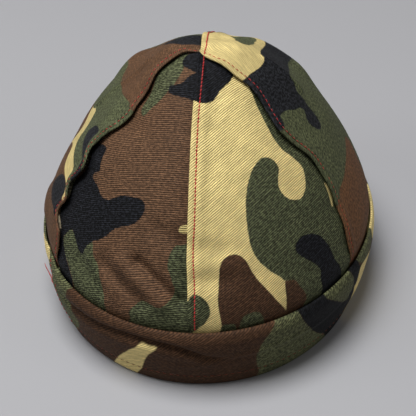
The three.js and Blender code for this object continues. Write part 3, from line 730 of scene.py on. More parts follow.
# %% Chart the patches of the band
LEFT_TAN = [(-81, 3), (-76.5, 1), (-73, 0), (-70, -1), (-68.3, 1), (-68, 4), (-69.5, 8), (-72, 13),
            (-75, 17), (-79, 17)]
LEAF = [(49, -4), (50, 1), (52, 4), (55, 8), (58, 12), (61, 16), (65.5, 18.6), (67, 12.2), (66.5, 5.3),
        (65.2, 0), (65, -4)]
GREEN_TO_BLACK = [(38, -4), (38.5, 2), (39.5, 6), (41.8, 11.8), (44.5, 18), (48, 24), (52, 29.5),
                  (56, 37), (62, 44)]
BLACK_TO_TAN = [(66, 44), (68, 33), (69.3, 25), (70.2, 19), (70.6, 14), (71.2, 9)]
BAND_PATCHES = {  # degrees round the band, mm down from its top edge
    "tan": (
        [(-14.5, 9.6), (-12, 10), (-9.2, 10.2), (-10.3, 12.5), (-11.8, 15.2), (-13.2, 19), (-14.3, 23.2),
         (-15.8, 29.6), (-17.5, 34), (-19, 38), (-20.5, 43), (-31, 43), (-29, 38), (-25.8, 30),
         (-22.8, 23.6), (-20.5, 19.5), (-18.6, 16), (-16.5, 13)],
        LEFT_TAN,
        [(73.5, 5.5), *BLACK_TO_TAN[::-1], (100, 44), (100, 20), (88, 11), (80, 7)],
        [(88.5, -4), (88.5, 1), (89.5, 6), (96, 12), (108, 10), (114, -4)],
        [(-94, 14), (-88, 20), (-90, 27), (-85, 34), (-87, 44), (-100, 44), (-98, 36), (-104, 30),
         (-100, 20)],
        [(150, -4), (147, 6), (152, 12), (150, 19), (157, 25), (164, 20), (171, 22), (177, 15), (174, 6),
         (176, -4)],
        [(-150, 44), (-151, 33), (-146, 28), (-147, 20), (-140, 17), (-134, 22), (-128, 20), (-122, 26),
         (-125, 34), (-122, 44)],
    ),
    "green": (
        [(-46.5, -4), (-47, 2), (-47.5, 11), (-45.5, 15), (-42.5, 19), (-43, 23), (-45.5, 28), (-50, 35),
         (-54, 44), (-88, 44), (-86, 30), (-91, 10), (-90, -4)],
        [(30, -4), (29.2, 0), (27.2, 3.4), (24.8, 7.6), (23.2, 13), (22.6, 20), (23, 26), (24, 31.5),
         (27, 44),
         *GREEN_TO_BLACK[::-1]],
        LEAF,
        [(72, -4), (71.7, 0.4), (73, 3), (76, 5.5), (80, 6.5), (86, 6.5), (89, 5), (88.5, -4)],
        [(114, 44), (112, 34), (106, 28), (108, 19), (116, 15), (122, 19), (130, 14), (138, 17),
         (140, 26), (147, 32), (146, 44)],
        [(-178, -4), (-177, 7), (-170, 11), (-167, 19), (-160, 20), (-156, 13), (-149, 10), (-150, -4)],
        [(-124, -4), (-127, 6), (-121, 11), (-122, 19), (-115, 23), (-109, 18), (-104, 20), (-101, 12),
         (-106, 5), (-105, -4)],
    ),
    "cut": (LEFT_TAN,),
    "black": (
        [*GREEN_TO_BLACK, *BLACK_TO_TAN, (72.5, 5.5), (72, 3), (71.7, 0.4), (72, -4), *LEAF[::-1]],
        [(122, -4), (119, 5), (124, 9), (127, 14), (133, 10), (139, 12), (143, 6), (142, -4)],
        [(160, 44), (157, 36), (161, 31), (168, 33), (172, 28), (178, 32), (179, 44)],
        [(-147, 10), (-142, 4), (-136, 7), (-130, 4), (-127, 11), (-132, 14), (-134, 19), (-141, 17)],
    ),
}
BAND_CHART = {
    colour: tuple([(angle * BAND_MM_PER_DEGREE, down) for angle, down in outline] for outline in outlines)
    for colour, outlines in BAND_PATCHES.items()
}

# %% Sew the band
BAND_ROWS = 470
BAND_GRAIN = 30  # degrees
START_LIFT_FADE = 22.0  # degrees over which the upper end comes down from the lower one
BAND_START = ((-0.7, 0.15), (-0.45, 0.62), (-0.15, 0.9))  # degrees past the join, share of the thickness
FIRST_FULL = 0.3  # degrees past the join
END_TUCK, END_FADE = 0.1, (358, 361)  # mm, degrees past the join over which the lower end slips under
FACE_DROPS, BACK_DROPS = np.r_[np.linspace(0, 0.985, 62), 0.997], np.linspace(1.0, 0.0, 26)
FACE_ROUNDING = (0.45, (0.975, 1))  # mm, stretch of the drop over which an edge is rounded off by that much
BACK_ROUNDING = (0.4, (0.96, 1))
EDGE_RISE = (0.35, (0.97, 1))
SEAT_OVERLAP = TUCK_DEPTH / BAND_HEIGHT  # share of the drop along which the band lies on the crown
SEAT_FADE = 1.6  # times the overlap, where the band has its full thickness


def rounding(edge, drop):
    """How many mm an edge is rounded off at places of the drop."""
    most, stretch = edge
    return most * smoothstep(drop, *stretch)


def sew_band():
    """The band: a sleeve whose first end lies over its last one, pinched shut at both."""
    full_rows = np.linspace(JOIN_ANGLE + FIRST_FULL, JOIN_ANGLE + 360 + JOIN_LAP, BAND_ROWS)
    degrees = np.r_[[JOIN_ANGLE + past for past, share in BAND_START], full_rows]
    angle = np.radians(degrees)[:, None]
    rise = JOIN_RISE * (1 - smoothstep(degrees - JOIN_ANGLE, JOIN_LAP, JOIN_LAP + START_LIFT_FADE))[:, None]
    ending = smoothstep(degrees, *(JOIN_ANGLE + past for past in END_FADE))[:, None]
    rise = rise * (1 - ending) - END_TUCK * ending
    outer_drop, inner_drop = FACE_DROPS[None] + 0 * angle, BACK_DROPS[None] + 0 * angle
    outer = band_point(angle + 0 * outer_drop, outer_drop, rounding(FACE_ROUNDING, outer_drop), rise)
    inner_angle = angle + 0 * inner_drop
    below = smoothstep(inner_drop, SEAT_OVERLAP, SEAT_OVERLAP * SEAT_FADE)
    padding = band_out(inner_angle, inner_drop) * (1 - below) + BAND_THICKNESS * below
    inner = band_point(inner_angle, inner_drop, padding - rounding(BACK_ROUNDING, inner_drop), 0)
    inner[:, :, 2] += rounding(EDGE_RISE, inner_drop)
    loops = np.concatenate([outer, inner], axis=1)
    centre_line = band_point(inner_angle, inner_drop, padding / 2)[:, ::-1]
    for row, share in [*enumerate(share for past, share in BAND_START), (-1, 0)]:
        height = loops[row, :, 2]
        core = [np.interp(height, centre_line[row, :, 2], centre_line[row, :, i]) for i in (0, 1)]
        core = np.stack([*core, height], -1)
        loops[row] = core + (loops[row] - core) * share
    x = degrees[:, None] * BAND_MM_PER_DEGREE + 0 * loops[:, :, 0]
    x = np.where(x > 180 * BAND_MM_PER_DEGREE, x - 360 * BAND_MM_PER_DEGREE, x)
    y = np.concatenate([outer_drop, inner_drop], axis=1) * BAND_HEIGHT
    attributes = {**print_layers(x, y, BAND_CHART, "brown"), "weave": weave_places(x, -y, BAND_GRAIN)}
    return cloth_mesh("turned_band", loops, attributes)


band = sew_band()
print(band.name, len(band.data.polygons), "faces")

# %% [markdown]
# ## The bill
# The bill is two plies of drill with a soft filling, cut as a half oval and sewn under the front of the
# band. Rows of stitching run parallel to its edge and quilt it. The sleeve's loops run from the root over
# the top to the front edge and back underneath, and each quilting row pulls both faces together a little.

# %% Sew the bill
QUILTING = (5.0, 12.0, 19.0, 26.0)  # mm from the front edge to each row of stitching
QUILT_DEPTH, QUILT_REACH = 0.35, 0.8  # mm
BILL_ROUNDING = 1.4  # mm from the edge
BILL_GRAIN = 45  # degrees
LIFT_POWER = 1.4  # above 1, the bill stays level near its root
RIPPLE_HEIGHT, RIPPLES, RIPPLE_START = 0.35, 7, 0.6  # mm, waves over the bill, radians
BILL_ROWS, BILL_SHARES = 170, np.r_[np.linspace(0, 0.985, 56), 0.994, 1.0, 1.0]
BILL_CHART = {  # mm from the middle line, mm forward of the root
    "tan": (
        [(-44, 26), (-40, 36), (-30, 42), (-22, 38), (-14, 44), (-6, 40), (-9, 31), (-18, 28), (-24, 21),
         (-34, 18)],
        [(30, 6), (36, 13), (43, 12), (50, 19), (58, 15), (62, 4), (60, -8), (34, -8)],
    ),
    "green": (
        [(-80, 20), (-52, 24), (-44, 12), (-50, -20), (-84, -20)],
        [(-8, 60), (0, 40), (14, 30), (30, 34), (40, 48), (34, 64)],
    ),
    "black": (
        [(-24, 12), (-12, 20), (2, 14), (12, 20), (22, 12), (14, 0), (-6, -6), (-22, 0)],
        [(46, 40), (54, 28), (70, 24), (80, 36), (66, 54)],
    ),
}


def band_edge(angle, inset):
    """Where the band's lower edge stands on the ground plane."""
    return band_point(angle, 1 + 0 * angle, inset)[..., :2]


def bill_place(turn, share):
    """turn runs from -1 at the left to 1 at the right, share from 0 at the root to 1 at the front edge."""
    spread = np.radians(BILL_SPREAD)
    corner = band_edge(np.array([np.pi - spread]), 0)[0] + BILL_CORNER
    sweep = turn * np.pi / 2
    edge = np.stack([corner[0] * np.sin(sweep), corner[1] + (BILL_FRONT - corner[1]) * np.cos(sweep)], -1)
    root = band_edge(np.pi - turn * spread, BAND_THICKNESS)
    return root + (edge - root) * share[..., None]


def bill_lift(turn, share):
    """How far the bill curves up towards the middle of its front edge."""
    return BILL_LIFT * share**LIFT_POWER * np.cos(turn * np.pi / 2) ** 2


def sew_bill():
    """The bill: two plies that meet in a rounded edge and are drawn together along the quilting rows."""
    steps = np.linspace(-1, 1, BILL_ROWS)
    turn, share = np.meshgrid(np.sin(steps * np.pi / 2) * 0.5 + steps * 0.5, BILL_SHARES, indexing="ij")
    place = bill_place(turn, share)
    from_edge = np.linalg.norm(bill_place(turn, 1 + 0 * share) - place, axis=-1)
    pillow = QUILT_DEPTH * sum(bell(from_edge - row, QUILT_REACH) for row in QUILTING)
    rounded = np.sqrt(np.clip(1 - (1 - np.clip(from_edge / BILL_ROUNDING, 0, 1)) ** 2, 0, 1))
    half = (BILL_THICKNESS / 2 - pillow) * rounded
    middle = bill_lift(turn, share) + BILL_THICKNESS / 2
    ripple = RIPPLE_HEIGHT * np.sin(turn * RIPPLES + RIPPLE_START) * share**2
    middle = middle + ripple * np.cos(turn * np.pi / 2)
    top = np.concatenate([place, (middle + half)[..., None]], -1)
    bottom = np.concatenate([place, (middle - half)[..., None]], -1)
    loops = np.concatenate([top, bottom[:, ::-1]], axis=1)
    for row in (0, -1):
        loops[row, :, 2] = np.concatenate([middle[row], middle[row, ::-1]])
    x, y = (np.concatenate([place[..., i], place[:, ::-1, i]], axis=1) for i in (0, 1))
    y = y - (RIM_HALF_LENGTH + APEX_SETBACK)
    attributes = {**print_layers(x, y, BILL_CHART, "brown"), "weave": weave_places(x, y, BILL_GRAIN)}
    return cloth_mesh("quilted_bill", loops, attributes)


bill = sew_bill()
print(bill.name, len(bill.data.polygons), "faces")

# %% [markdown]
# ## Topstitching
# Topstitching is thread that comes up, lies on the cloth for two millimetres and goes down again beside
# the next stitch. Each stitch is a short bent sleeve of six sides whose two ends dip into the cloth. The
# line they follow is dropped onto the finished cloth, so it climbs over every lap and pucker. A textured
# ribbon would be lighter, but its stitches would have no height and no shadow.

# %% Lay stitches along a line on the cloth
DROP_FROM, DROP_LENGTH = 7.0, 17.5  # mm above the cloth from which a line is dropped, and the longest drop
STITCH_RINGS, STITCH_SIDES = 7, 6
STITCH_CREST = 0.12  # mm by which the middle of a stitch rises above its lie
STITCH_WIDE, STITCH_HIGH = 1.1, 0.85  # shares of the thread's half thickness, across and up
STITCH_TIP = 0.04  # share of half a wave that is left out at each end, so that an end is blunt
TWISTS_PER_MM = 1.4


def laid_on(cloth, points, normals):
    """The places in mm, and the normals there, where a line dropped against the normals meets the cloth."""
    meshes = [piece.data for piece in cloth]
    trees = [
        BVHTree.FromPolygons([v.co for v in mesh.vertices], [face.vertices for face in mesh.polygons])
        for mesh in meshes
    ]
    found = []
    for start, normal in zip(in_frame(points + DROP_FROM * normals), normals):
        start = Vector(start)
        hits = [tree.ray_cast(start, Vector(-normal), DROP_LENGTH * MM)[0] for tree in trees]
        hits = [hit for hit in hits if hit is not None]
        if hits:
            found.append([*min(hits, key=lambda place: (place - start).length), *normal])
    found = np.array(found)
    return (found[:, :3] - (0, APEX_Y, 0)) / MM, found[:, 3:]


def evened(path, reach):
    """A line with its sudden steps smoothed out over this many places."""
    kernel = np.ones(2 * reach + 1) / (2 * reach + 1)
    padded = np.pad(path, ((reach, reach), (0, 0)), mode="edge")
    return np.stack([np.convolve(padded[:, i], kernel, mode="valid") for i in range(3)], -1)


def stitches_along(path, normals, pitch, length, thread, sink=0.3, lie=0.1):
    """Loops of points for the stitches that fit on a line over the cloth: stitches[number][ring][side]."""
    travelled = np.r_[0, np.cumsum(np.linalg.norm(np.diff(path, axis=0), axis=1))]
    count = int((travelled[-1] - length) / pitch) + 1
    rings = np.linspace(0, 1, STITCH_RINGS)
    at = (np.arange(count)[:, None] * pitch + rings * length).ravel()
    centre, normal = (
        np.stack([np.interp(at, travelled, values[:, i]) for i in range(3)], -1)
        for values in (path, normals)
    )
    ahead = np.gradient(centre.reshape(count, STITCH_RINGS, 3), axis=1).reshape(-1, 3)
    ahead /= np.linalg.norm(ahead, axis=1, keepdims=True)
    side = np.cross(ahead, normal)
    side /= np.linalg.norm(side, axis=1, keepdims=True)
    wave = np.sin(np.pi * (STITCH_TIP + (1 - 2 * STITCH_TIP) * rings))
    arch = np.tile(np.sin(np.pi * rings) ** 0.5, count)[:, None]
    taper = np.tile(np.sqrt(np.clip(wave, 0, 1)), count)[:, None]
    slant = np.tile(rings - 0.5, count)[:, None] * thread
    centre = centre + normal * (lie - sink + (sink + STITCH_CREST) * arch) + side * slant
    turn = np.linspace(0, 2 * np.pi, STITCH_SIDES, endpoint=False)[None, :, None]
    across, high = STITCH_WIDE * np.cos(turn) * side[:, None], STITCH_HIGH * np.sin(turn) * normal[:, None]
    tube = centre[:, None] + thread * taper[:, None] * (across + high)
    return tube.reshape(count, STITCH_RINGS, STITCH_SIDES, 3), np.tile(rings * length, (count, 1))


def thread_mesh(name, rows):
    """One mesh from many rows of stitches. Its weave attribute winds round each stitch, for the twist."""
    points, faces, winding, start = [], [], [], 0
    for tubes, travelled in rows:
        number = start + np.arange(tubes.size // 3).reshape(tubes.shape[:3])
        across = np.roll(number, -1, 2)
        skin = np.stack([number[:, :-1], across[:, :-1], across[:, 1:], number[:, 1:]], -1).reshape(-1, 4)
        faces += skin.tolist() + number[:, 0, ::-1].tolist() + number[:, -1].tolist()
        points.append(tubes.reshape(-1, 3))
        around = np.arange(STITCH_SIDES) / STITCH_SIDES
        twist = travelled[..., None] * TWISTS_PER_MM + around
        winding.append(np.stack(np.broadcast_arrays(twist, around, 0.0), -1).reshape(-1, 3))
        start += number.size
    return new_piece(name, np.concatenate(points), faces, {"weave": np.concatenate(winding)})


# %% Topstitch the crown seams
CENTRE_STITCH = {"pitch": 1.95, "length": 1.93, "thread": 0.3}  # all in mm, thread is half the thickness
SIDE_STITCH = {"pitch": 2.6, "length": 2.0, "thread": 0.18}
SUNKEN_STITCH = {"pitch": 2.6, "length": 2.0, "thread": 0.16, "lie": 0.0}
FAINT_STITCH = {**SUNKEN_STITCH, "thread": 0.11}
LINE_PLACES = 330
APEX_PLACES, APEX_REACH = 40, 0.7  # places beside the apex, and the lowest share up that is tried
LOW_END, CENTRE_END, SIDE_END = 0.004, 0.925, 0.985  # shares up
FAINT_END, FULL_START = 0.36, 0.37  # shares up the right seam, where its stitches come out of the cloth
STRAIGHT_RUN = 8.0  # mm to both sides of the apex over which the centre seam's line runs straight
ACROSS_APEX = 2.6  # mm to the right of the apex at which the centre seam's stitches cross over
CENTRE_OFFSETS = ((0, 3.4), (0.15, 3.4), (0.3, 3.0), (0.37, 3.3), (0.7, 3.0),
                  (0.86, 3.0), (0.94, ACROSS_APEX))


def seam_line(seam, side, offsets, low, high):
    """A line beside a seam, to its right if side is 1, from share low to share high."""
    up = np.linspace(low, high, LINE_PLACES)
    angle = np.radians(read_table(SEAM_COURSES[seam], up))
    angle = angle + side * read_table(offsets, up) / crown_reach(angle, up)
    return crown_point(angle, up), crown_normal(angle, up)


def apex_line():
    """The middle of the centre seam's line, straight over the dome beside the apex."""
    y = np.linspace(-STRAIGHT_RUN, STRAIGHT_RUN, APEX_PLACES)
    angle, reach = np.arctan2(ACROSS_APEX, -y), np.hypot(ACROSS_APEX, y)
    shares = np.linspace(1, APEX_REACH, SIDE_STEPS)
    reaches = (crown_reach(np.full(shares.size, a), shares) for a in angle)
    up = np.array([np.interp(r, falling, shares) for r, falling in zip(reach, reaches)])
    return crown_point(angle, up), crown_normal(angle, up)


back_line = seam_line("back", 1, CENTRE_OFFSETS, LOW_END, CENTRE_END)
front_line = seam_line("front", -1, CENTRE_OFFSETS, CENTRE_END, LOW_END)
centre_line = [np.concatenate(parts) for parts in zip(back_line, apex_line(), front_line)]
SIDE_OFFSETS = ((0, 3.0), (0.85, 2.9), (0.95, 2.2), (1, 1.5))
right_line = seam_line("right", 1, SIDE_OFFSETS, FULL_START, SIDE_END)
low_right_line = seam_line("right", 1, SIDE_OFFSETS, LOW_END, FAINT_END)
left_line = seam_line("left", -1, SIDE_OFFSETS, LOW_END, SIDE_END)


def stitch_on_crown(line, stitch):
    """Stitches along a line that is dropped onto the panels."""
    path, normals = laid_on(crown.values(), *line)
    return stitches_along(evened(path, 2), normals, **stitch)


seam_stitching = thread_mesh("seam_topstitching", [
    stitch_on_crown(centre_line, CENTRE_STITCH),
    stitch_on_crown(right_line, SIDE_STITCH),
    stitch_on_crown(low_right_line, FAINT_STITCH),
    stitch_on_crown(left_line, SUNKEN_STITCH),
])

# %% Stitch the band's hem and its join, and leave a loose thread end
HEM_STITCH = {"pitch": 3.4, "length": 2.2, "thread": 0.15, "sink": 0.2, "lie": 0.05}  # all in mm
JOIN_STITCH = {"pitch": 2.7, "length": 2.2, "thread": 0.2}
LOOSE_END = (  # degrees round the band, share of the drop, mm off the band
    (-63, 0.42, 0.1), (-66, 0.45, 0.5), (-69, 0.44, 1.1), (-71, 0.41, 1.7), (-70.5, 0.37, 2.3),
    (-72.5, 0.35, 2.5),
)
JOIN_LEAN = 13.0  # degrees by which the join's stitches run on towards the hem
JOIN_START = 1.4  # degrees from the join to its stitches, at the top of the band
HEM_END = 358  # degrees past the join
LOOSE_THREAD = 0.32  # mm, half the thickness of the frayed end


def band_line(degrees, drops):
    """A line on the band through places given by their angle and drop."""
    angle, drop = np.radians(degrees) + 0 * drops, drops + 0 * degrees
    step = 0.01
    round_it = band_point(angle + step, drop, 0) - band_point(angle - step, drop, 0)
    climb = band_point(angle, drop - step, 0) - band_point(angle, drop + step, 0)
    normal = np.cross(round_it, climb)
    normal = normal / np.linalg.norm(normal, axis=1, keepdims=True)
    return laid_on([band], band_point(angle, drop, 0), normal)


hem_line = band_line(np.linspace(JOIN_ANGLE + JOIN_LAP, JOIN_ANGLE + HEM_END, 900), HEM_DROP)
join_drops = np.linspace(0.03, 0.9, 60)
join_line = band_line(JOIN_ANGLE + JOIN_START + JOIN_LEAN * join_drops, join_drops)
loose_places = smooth_through(LOOSE_END, 8)
loose_path, loose_normals = band_line(loose_places[:, 0], loose_places[:, 1])
loose_path = loose_path + loose_normals * loose_places[:, 2:]
loose_length = np.linalg.norm(np.diff(loose_path, axis=0), axis=1).sum()
hem_stitching = thread_mesh("hem_stitching", [stitches_along(*hem_line, **HEM_STITCH)])
ONE_STITCH = {
    "pitch": loose_length, "length": loose_length - 0.01, "thread": LOOSE_THREAD, "sink": 0.0, "lie": 0.0,
}
join_stitching = thread_mesh("join_stitching", [
    stitches_along(*join_line, **JOIN_STITCH),
    stitches_along(loose_path, loose_normals, **ONE_STITCH),
])

# %% Quilt the bill
QUILT_STITCH = {"pitch": 3.4, "length": 2.8, "thread": 0.28}
QUILT_SPREAD = 0.93  # share of the turn to each side that is quilted
ROOT_MARGIN = 4  # mm between the band and the ends of a row


def quilting_line(from_edge):
    """A row of quilting, at this distance from the front edge."""
    turn = np.linspace(-QUILT_SPREAD, QUILT_SPREAD, 500)
    spans = np.linalg.norm(bill_place(turn, 1 + 0 * turn) - bill_place(turn, 0 * turn), axis=-1)
    long_enough = spans > from_edge + ROOT_MARGIN
    turn, spans = turn[long_enough], spans[long_enough]
    place = bill_place(turn, 1 - from_edge / spans)
    upright = np.tile((0.0, 0.0, 1.0), (len(turn), 1))
    return laid_on([bill], np.column_stack([place, np.full(len(turn), BILL_LIFT)]), upright)


quilting_rows = [stitches_along(*quilting_line(row), **QUILT_STITCH) for row in QUILTING]
bill_stitching = thread_mesh("bill_quilting", quilting_rows)
threads = [seam_stitching, hem_stitching, join_stitching, bill_stitching]
for piece in threads:
    print(piece.name, len(piece.data.polygons), "faces")

# %% [markdown]
# ## Finishes
# Drill is woven in diagonal ribs. Its colour gets painted shade in the grooves between the ribs and lighter
# crests, partly for their pale fibres and partly as painted highlight, and the fibres of its nap speckle
# the dark colours. Weave, print edge and nap are each a node group with their own inputs, placed in the
# cloths with different values. They read the flat cloth's places, so the weave follows every panel and
# bends with it, which object coordinates would not do.

# %% Build a node group from a short list of steps


def linear(red, green, blue):
    """A colour as it is seen, from 0 to 255, in the shader's linear light."""
    seen = np.array([red, green, blue]) / 255
    light = np.where(seen <= 0.04045, seen / 12.92, ((seen + 0.055) / 1.055) ** 2.4)
    return (*light.tolist(), 1.0)


class Nodes:
    """Adds nodes to a tree and joins their sockets, so that a material reads like a list of steps."""

    def __init__(self, tree):
        self.tree = tree

    def add(self, kind, settings=None, **inputs):
        """A new node with its settings and inputs. An underscore in an input's name stands for a space."""
        node = self.tree.nodes.new(kind)
        for name, value in (settings or {}).items():
            setattr(node, name, value)
        for name, value in inputs.items():
            self.feed(node.inputs[name.replace("_", " ")], value)
        return node

    def feed(self, socket, value):
        """Join an output to the socket, or set the socket's own value."""
        if isinstance(value, bpy.types.NodeSocket):
            self.tree.links.new(value, socket)
        else:
            socket.default_value = value

    def math(self, operation, *values):
        """The result of one sum."""
        node = self.tree.nodes.new("ShaderNodeMath")
        node.operation = operation
        for socket, value in zip(node.inputs, values):
            self.feed(socket, value)
        return node.outputs[0]

    def ramp(self, value, low, high):
        """0 below low, 1 above high, and a soft climb between them."""
        soft = {"interpolation_type": "SMOOTHSTEP"}
        return self.add("ShaderNodeMapRange", soft, Value=value, From_Min=low, From_Max=high).outputs[0]

    def mix(self, share, first, second):
        """One colour mixed into another."""
        node = self.tree.nodes.new("ShaderNodeMix")
        node.data_type = "RGBA"
        for socket, value in ((0, share), (6, first), (7, second)):
            self.feed(node.inputs[socket], value)
        return node.outputs[2]

    def blend(self, share, first, second):
        """One value mixed into another."""
        node = self.tree.nodes.new("ShaderNodeMix")
        for socket, value in ((0, share), (2, first), (3, second)):
            self.feed(node.inputs[socket], value)
        return node.outputs[0]

    def group(self, tree, **inputs):
        """The outputs of a node group that is placed with these inputs."""
        return self.add("ShaderNodeGroup", {"node_tree": tree}, **inputs).outputs

    def attribute(self, name, output="Fac"):
        """What the vertices hold under this name."""
        node = self.tree.nodes.new("ShaderNodeAttribute")
        node.attribute_name = name
        return node.outputs[output]


def new_material(name):
    """A new material, the steps of its node tree, and its shader."""
    material = bpy.data.materials.new(name)
    material.use_nodes = True
    return material, Nodes(material.node_tree), material.node_tree.nodes["Principled BSDF"]


def new_group(name, inputs, outputs):
    """An empty node group, with the tree's input and output nodes. inputs are (name, kind, value)."""
    tree = bpy.data.node_groups.new(name, "ShaderNodeTree")
    for label, kind, value in inputs:
        socket = tree.interface.new_socket(label, in_out="INPUT", socket_type=kind)
        if value is not None:
            socket.default_value = value
    for label, kind in outputs:
        tree.interface.new_socket(label, in_out="OUTPUT", socket_type=kind)
    return tree, tree.nodes.new("NodeGroupInput").outputs, tree.nodes.new("NodeGroupOutput").inputs


# %% Twill weave
FLOAT, VECTOR = "NodeSocketFloat", "NodeSocketVector"
twill, given, result = new_group(
    "twill_weave",
    [("Weave", VECTOR, None), ("Rib Width", FLOAT, 1.0), ("Float Length", FLOAT, 0.7),
     ("Unevenness", FLOAT, 0.3)],
    [("Height", FLOAT), ("Groove", FLOAT), ("Streak", FLOAT)],
)
step = Nodes(twill)
slub = step.add("ShaderNodeTexNoise", Vector=given["Weave"], Scale=0.35, Detail=3.0).outputs[0]
place = step.add("ShaderNodeSeparateXYZ", Vector=given["Weave"]).outputs
wander = step.math("MULTIPLY", step.math("SUBTRACT", slub, 0.5), given["Unevenness"])
rib_place = step.math("ADD", step.math("DIVIDE", place["X"], given["Rib Width"]), wander)
rib = step.math("ABSOLUTE", step.math("SINE", step.math("MULTIPLY", rib_place, np.pi)))
shift = step.math("MULTIPLY", step.math("FLOOR", rib_place), 0.37)  # each rib's floats start further on
thread_place = step.math("ADD", step.math("DIVIDE", place["Y"], given["Float Length"]), shift)
float_shape = step.math("ABSOLUTE", step.math("SINE", step.math("MULTIPLY", thread_place, np.pi)))
step.feed(result["Height"], step.math("MULTIPLY", rib, step.math("MULTIPLY_ADD", float_shape, 0.3, 0.7)))
step.feed(result["Groove"], step.math("SUBTRACT", 1.0, step.ramp(rib, 0.2, 0.8)))
along = step.add("ShaderNodeCombineXYZ", X=rib_place, Y=step.math("MULTIPLY", place["Y"], 0.15)).outputs[0]
step.feed(result["Streak"], step.add("ShaderNodeTexNoise", Vector=along, Scale=0.8, Detail=1.0).outputs[0])

# %% Ragged print edge
print_edge, given, result = new_group(
    "print_edge",
    [("Distance", FLOAT, 0.0), ("Weave", VECTOR, None), ("Softness", FLOAT, 0.3),
     ("Raggedness", FLOAT, 0.4)],
    [("Mask", FLOAT)],
)
step = Nodes(print_edge)
bleed = step.add("ShaderNodeTexNoise", Vector=given["Weave"], Scale=1.1, Detail=2.0).outputs[0]
ragged = step.math("MULTIPLY", step.math("SUBTRACT", bleed, 0.5), given["Raggedness"])
moved = step.math("ADD", given["Distance"], ragged)
outer_edge = step.math("MULTIPLY", given["Softness"], -1.0)
step.feed(result["Mask"], step.ramp(moved, outer_edge, given["Softness"]))

# %% Cotton nap
nap, given, result = new_group(
    "cotton_nap",
    [("Weave", VECTOR, None), ("Fineness", FLOAT, 1.6)],
    [("Mottle", FLOAT), ("Speck", FLOAT)],
)
step = Nodes(nap)
clouds = step.add("ShaderNodeTexNoise", Vector=given["Weave"], Scale=0.07, Detail=4.0).outputs[0]
step.feed(result["Mottle"], clouds)
lie = step.add("ShaderNodeVectorMath", {"operation": "MULTIPLY"}).outputs[0]
step.feed(lie.node.inputs[0], given["Weave"])
lie.node.inputs[1].default_value = (1.0, 0.6, 1.0)  # fibres lie along the ribs
fibres = step.add("ShaderNodeTexNoise", Vector=lie, Scale=given["Fineness"], Detail=2.0).outputs[0]
step.feed(result["Speck"], step.ramp(fibres, 0.36, 0.66))

# %% [markdown]
# ## Drill in woodland colours
# All the cloths share one recipe. The print colours are laid over each other by their masks, then given
# painted shade in the grooves of the weave and lighter rib crests, partly pale fibres and partly painted
# highlight, and varied by streaks and specks, more in the dark dyes than in the tan. The band and the front
# panels take copies of the dyes made lighter or darker to suit how they are lit, which is painted light and
# shade. The wrong side shows the same print, faint and pale, because the dye only half soaks through.

# %% Mix the cloths
DYES = {
    "ground": linear(97, 71, 51), "tan": linear(228, 207, 141), "brown": linear(76, 53, 36),
    "green": linear(76, 80, 56), "black": linear(19, 20, 24),
}
PALE_BACK = linear(160, 152, 128)
# The band's copy of the dyes is painted light and shade on the same cloth: a darker ground and black for
# the shade the band sits in, and a lighter green for its lit roll.
BAND_DYES_WITH_PAINTED_LIGHT = {
    **DYES, "ground": linear(71, 49, 33), "green": linear(84, 86, 59), "black": linear(15, 16, 18),
}
# The front panels' copy of the dyes is painted light and shade on the same cloth: a darker tan and ground,
# and a lighter brown and black, to suit how the front panels are lit.
FRONT_DYES_WITH_PAINTED_LIGHT = {
    **DYES, "ground": linear(90, 65, 46), "tan": linear(197, 178, 121), "brown": linear(102, 71, 47),
    "black": linear(29, 30, 33),
}
PRINT = (  # layer, raggedness of its edge, contrast of its specks and ribs
    ("tan", 0.35, 0.1), ("brown", 0.5, 0.9), ("green", 0.8, 1.2), ("black", 0.6, 2.2),
)
GROUND_CONTRAST = 0.7
# The ribs' crests are lighter, partly for their pale fibres and partly as painted highlight.
CREST_SHARPNESS, CREST_HIGHLIGHT = 3.0, 0.6  # ribs are pale only along their crests
MEAN_LIGHTNESS = 0.67  # of specks and crests together, where a dye has its own colour
DARKEST_SPECK, DARKEST_SHADE = 0.1, 0.02
RIB_WIDTH, TWILL_FLOAT = 1.0, 0.62  # mm
CLOTH_RELIEF = 0.00025  # m


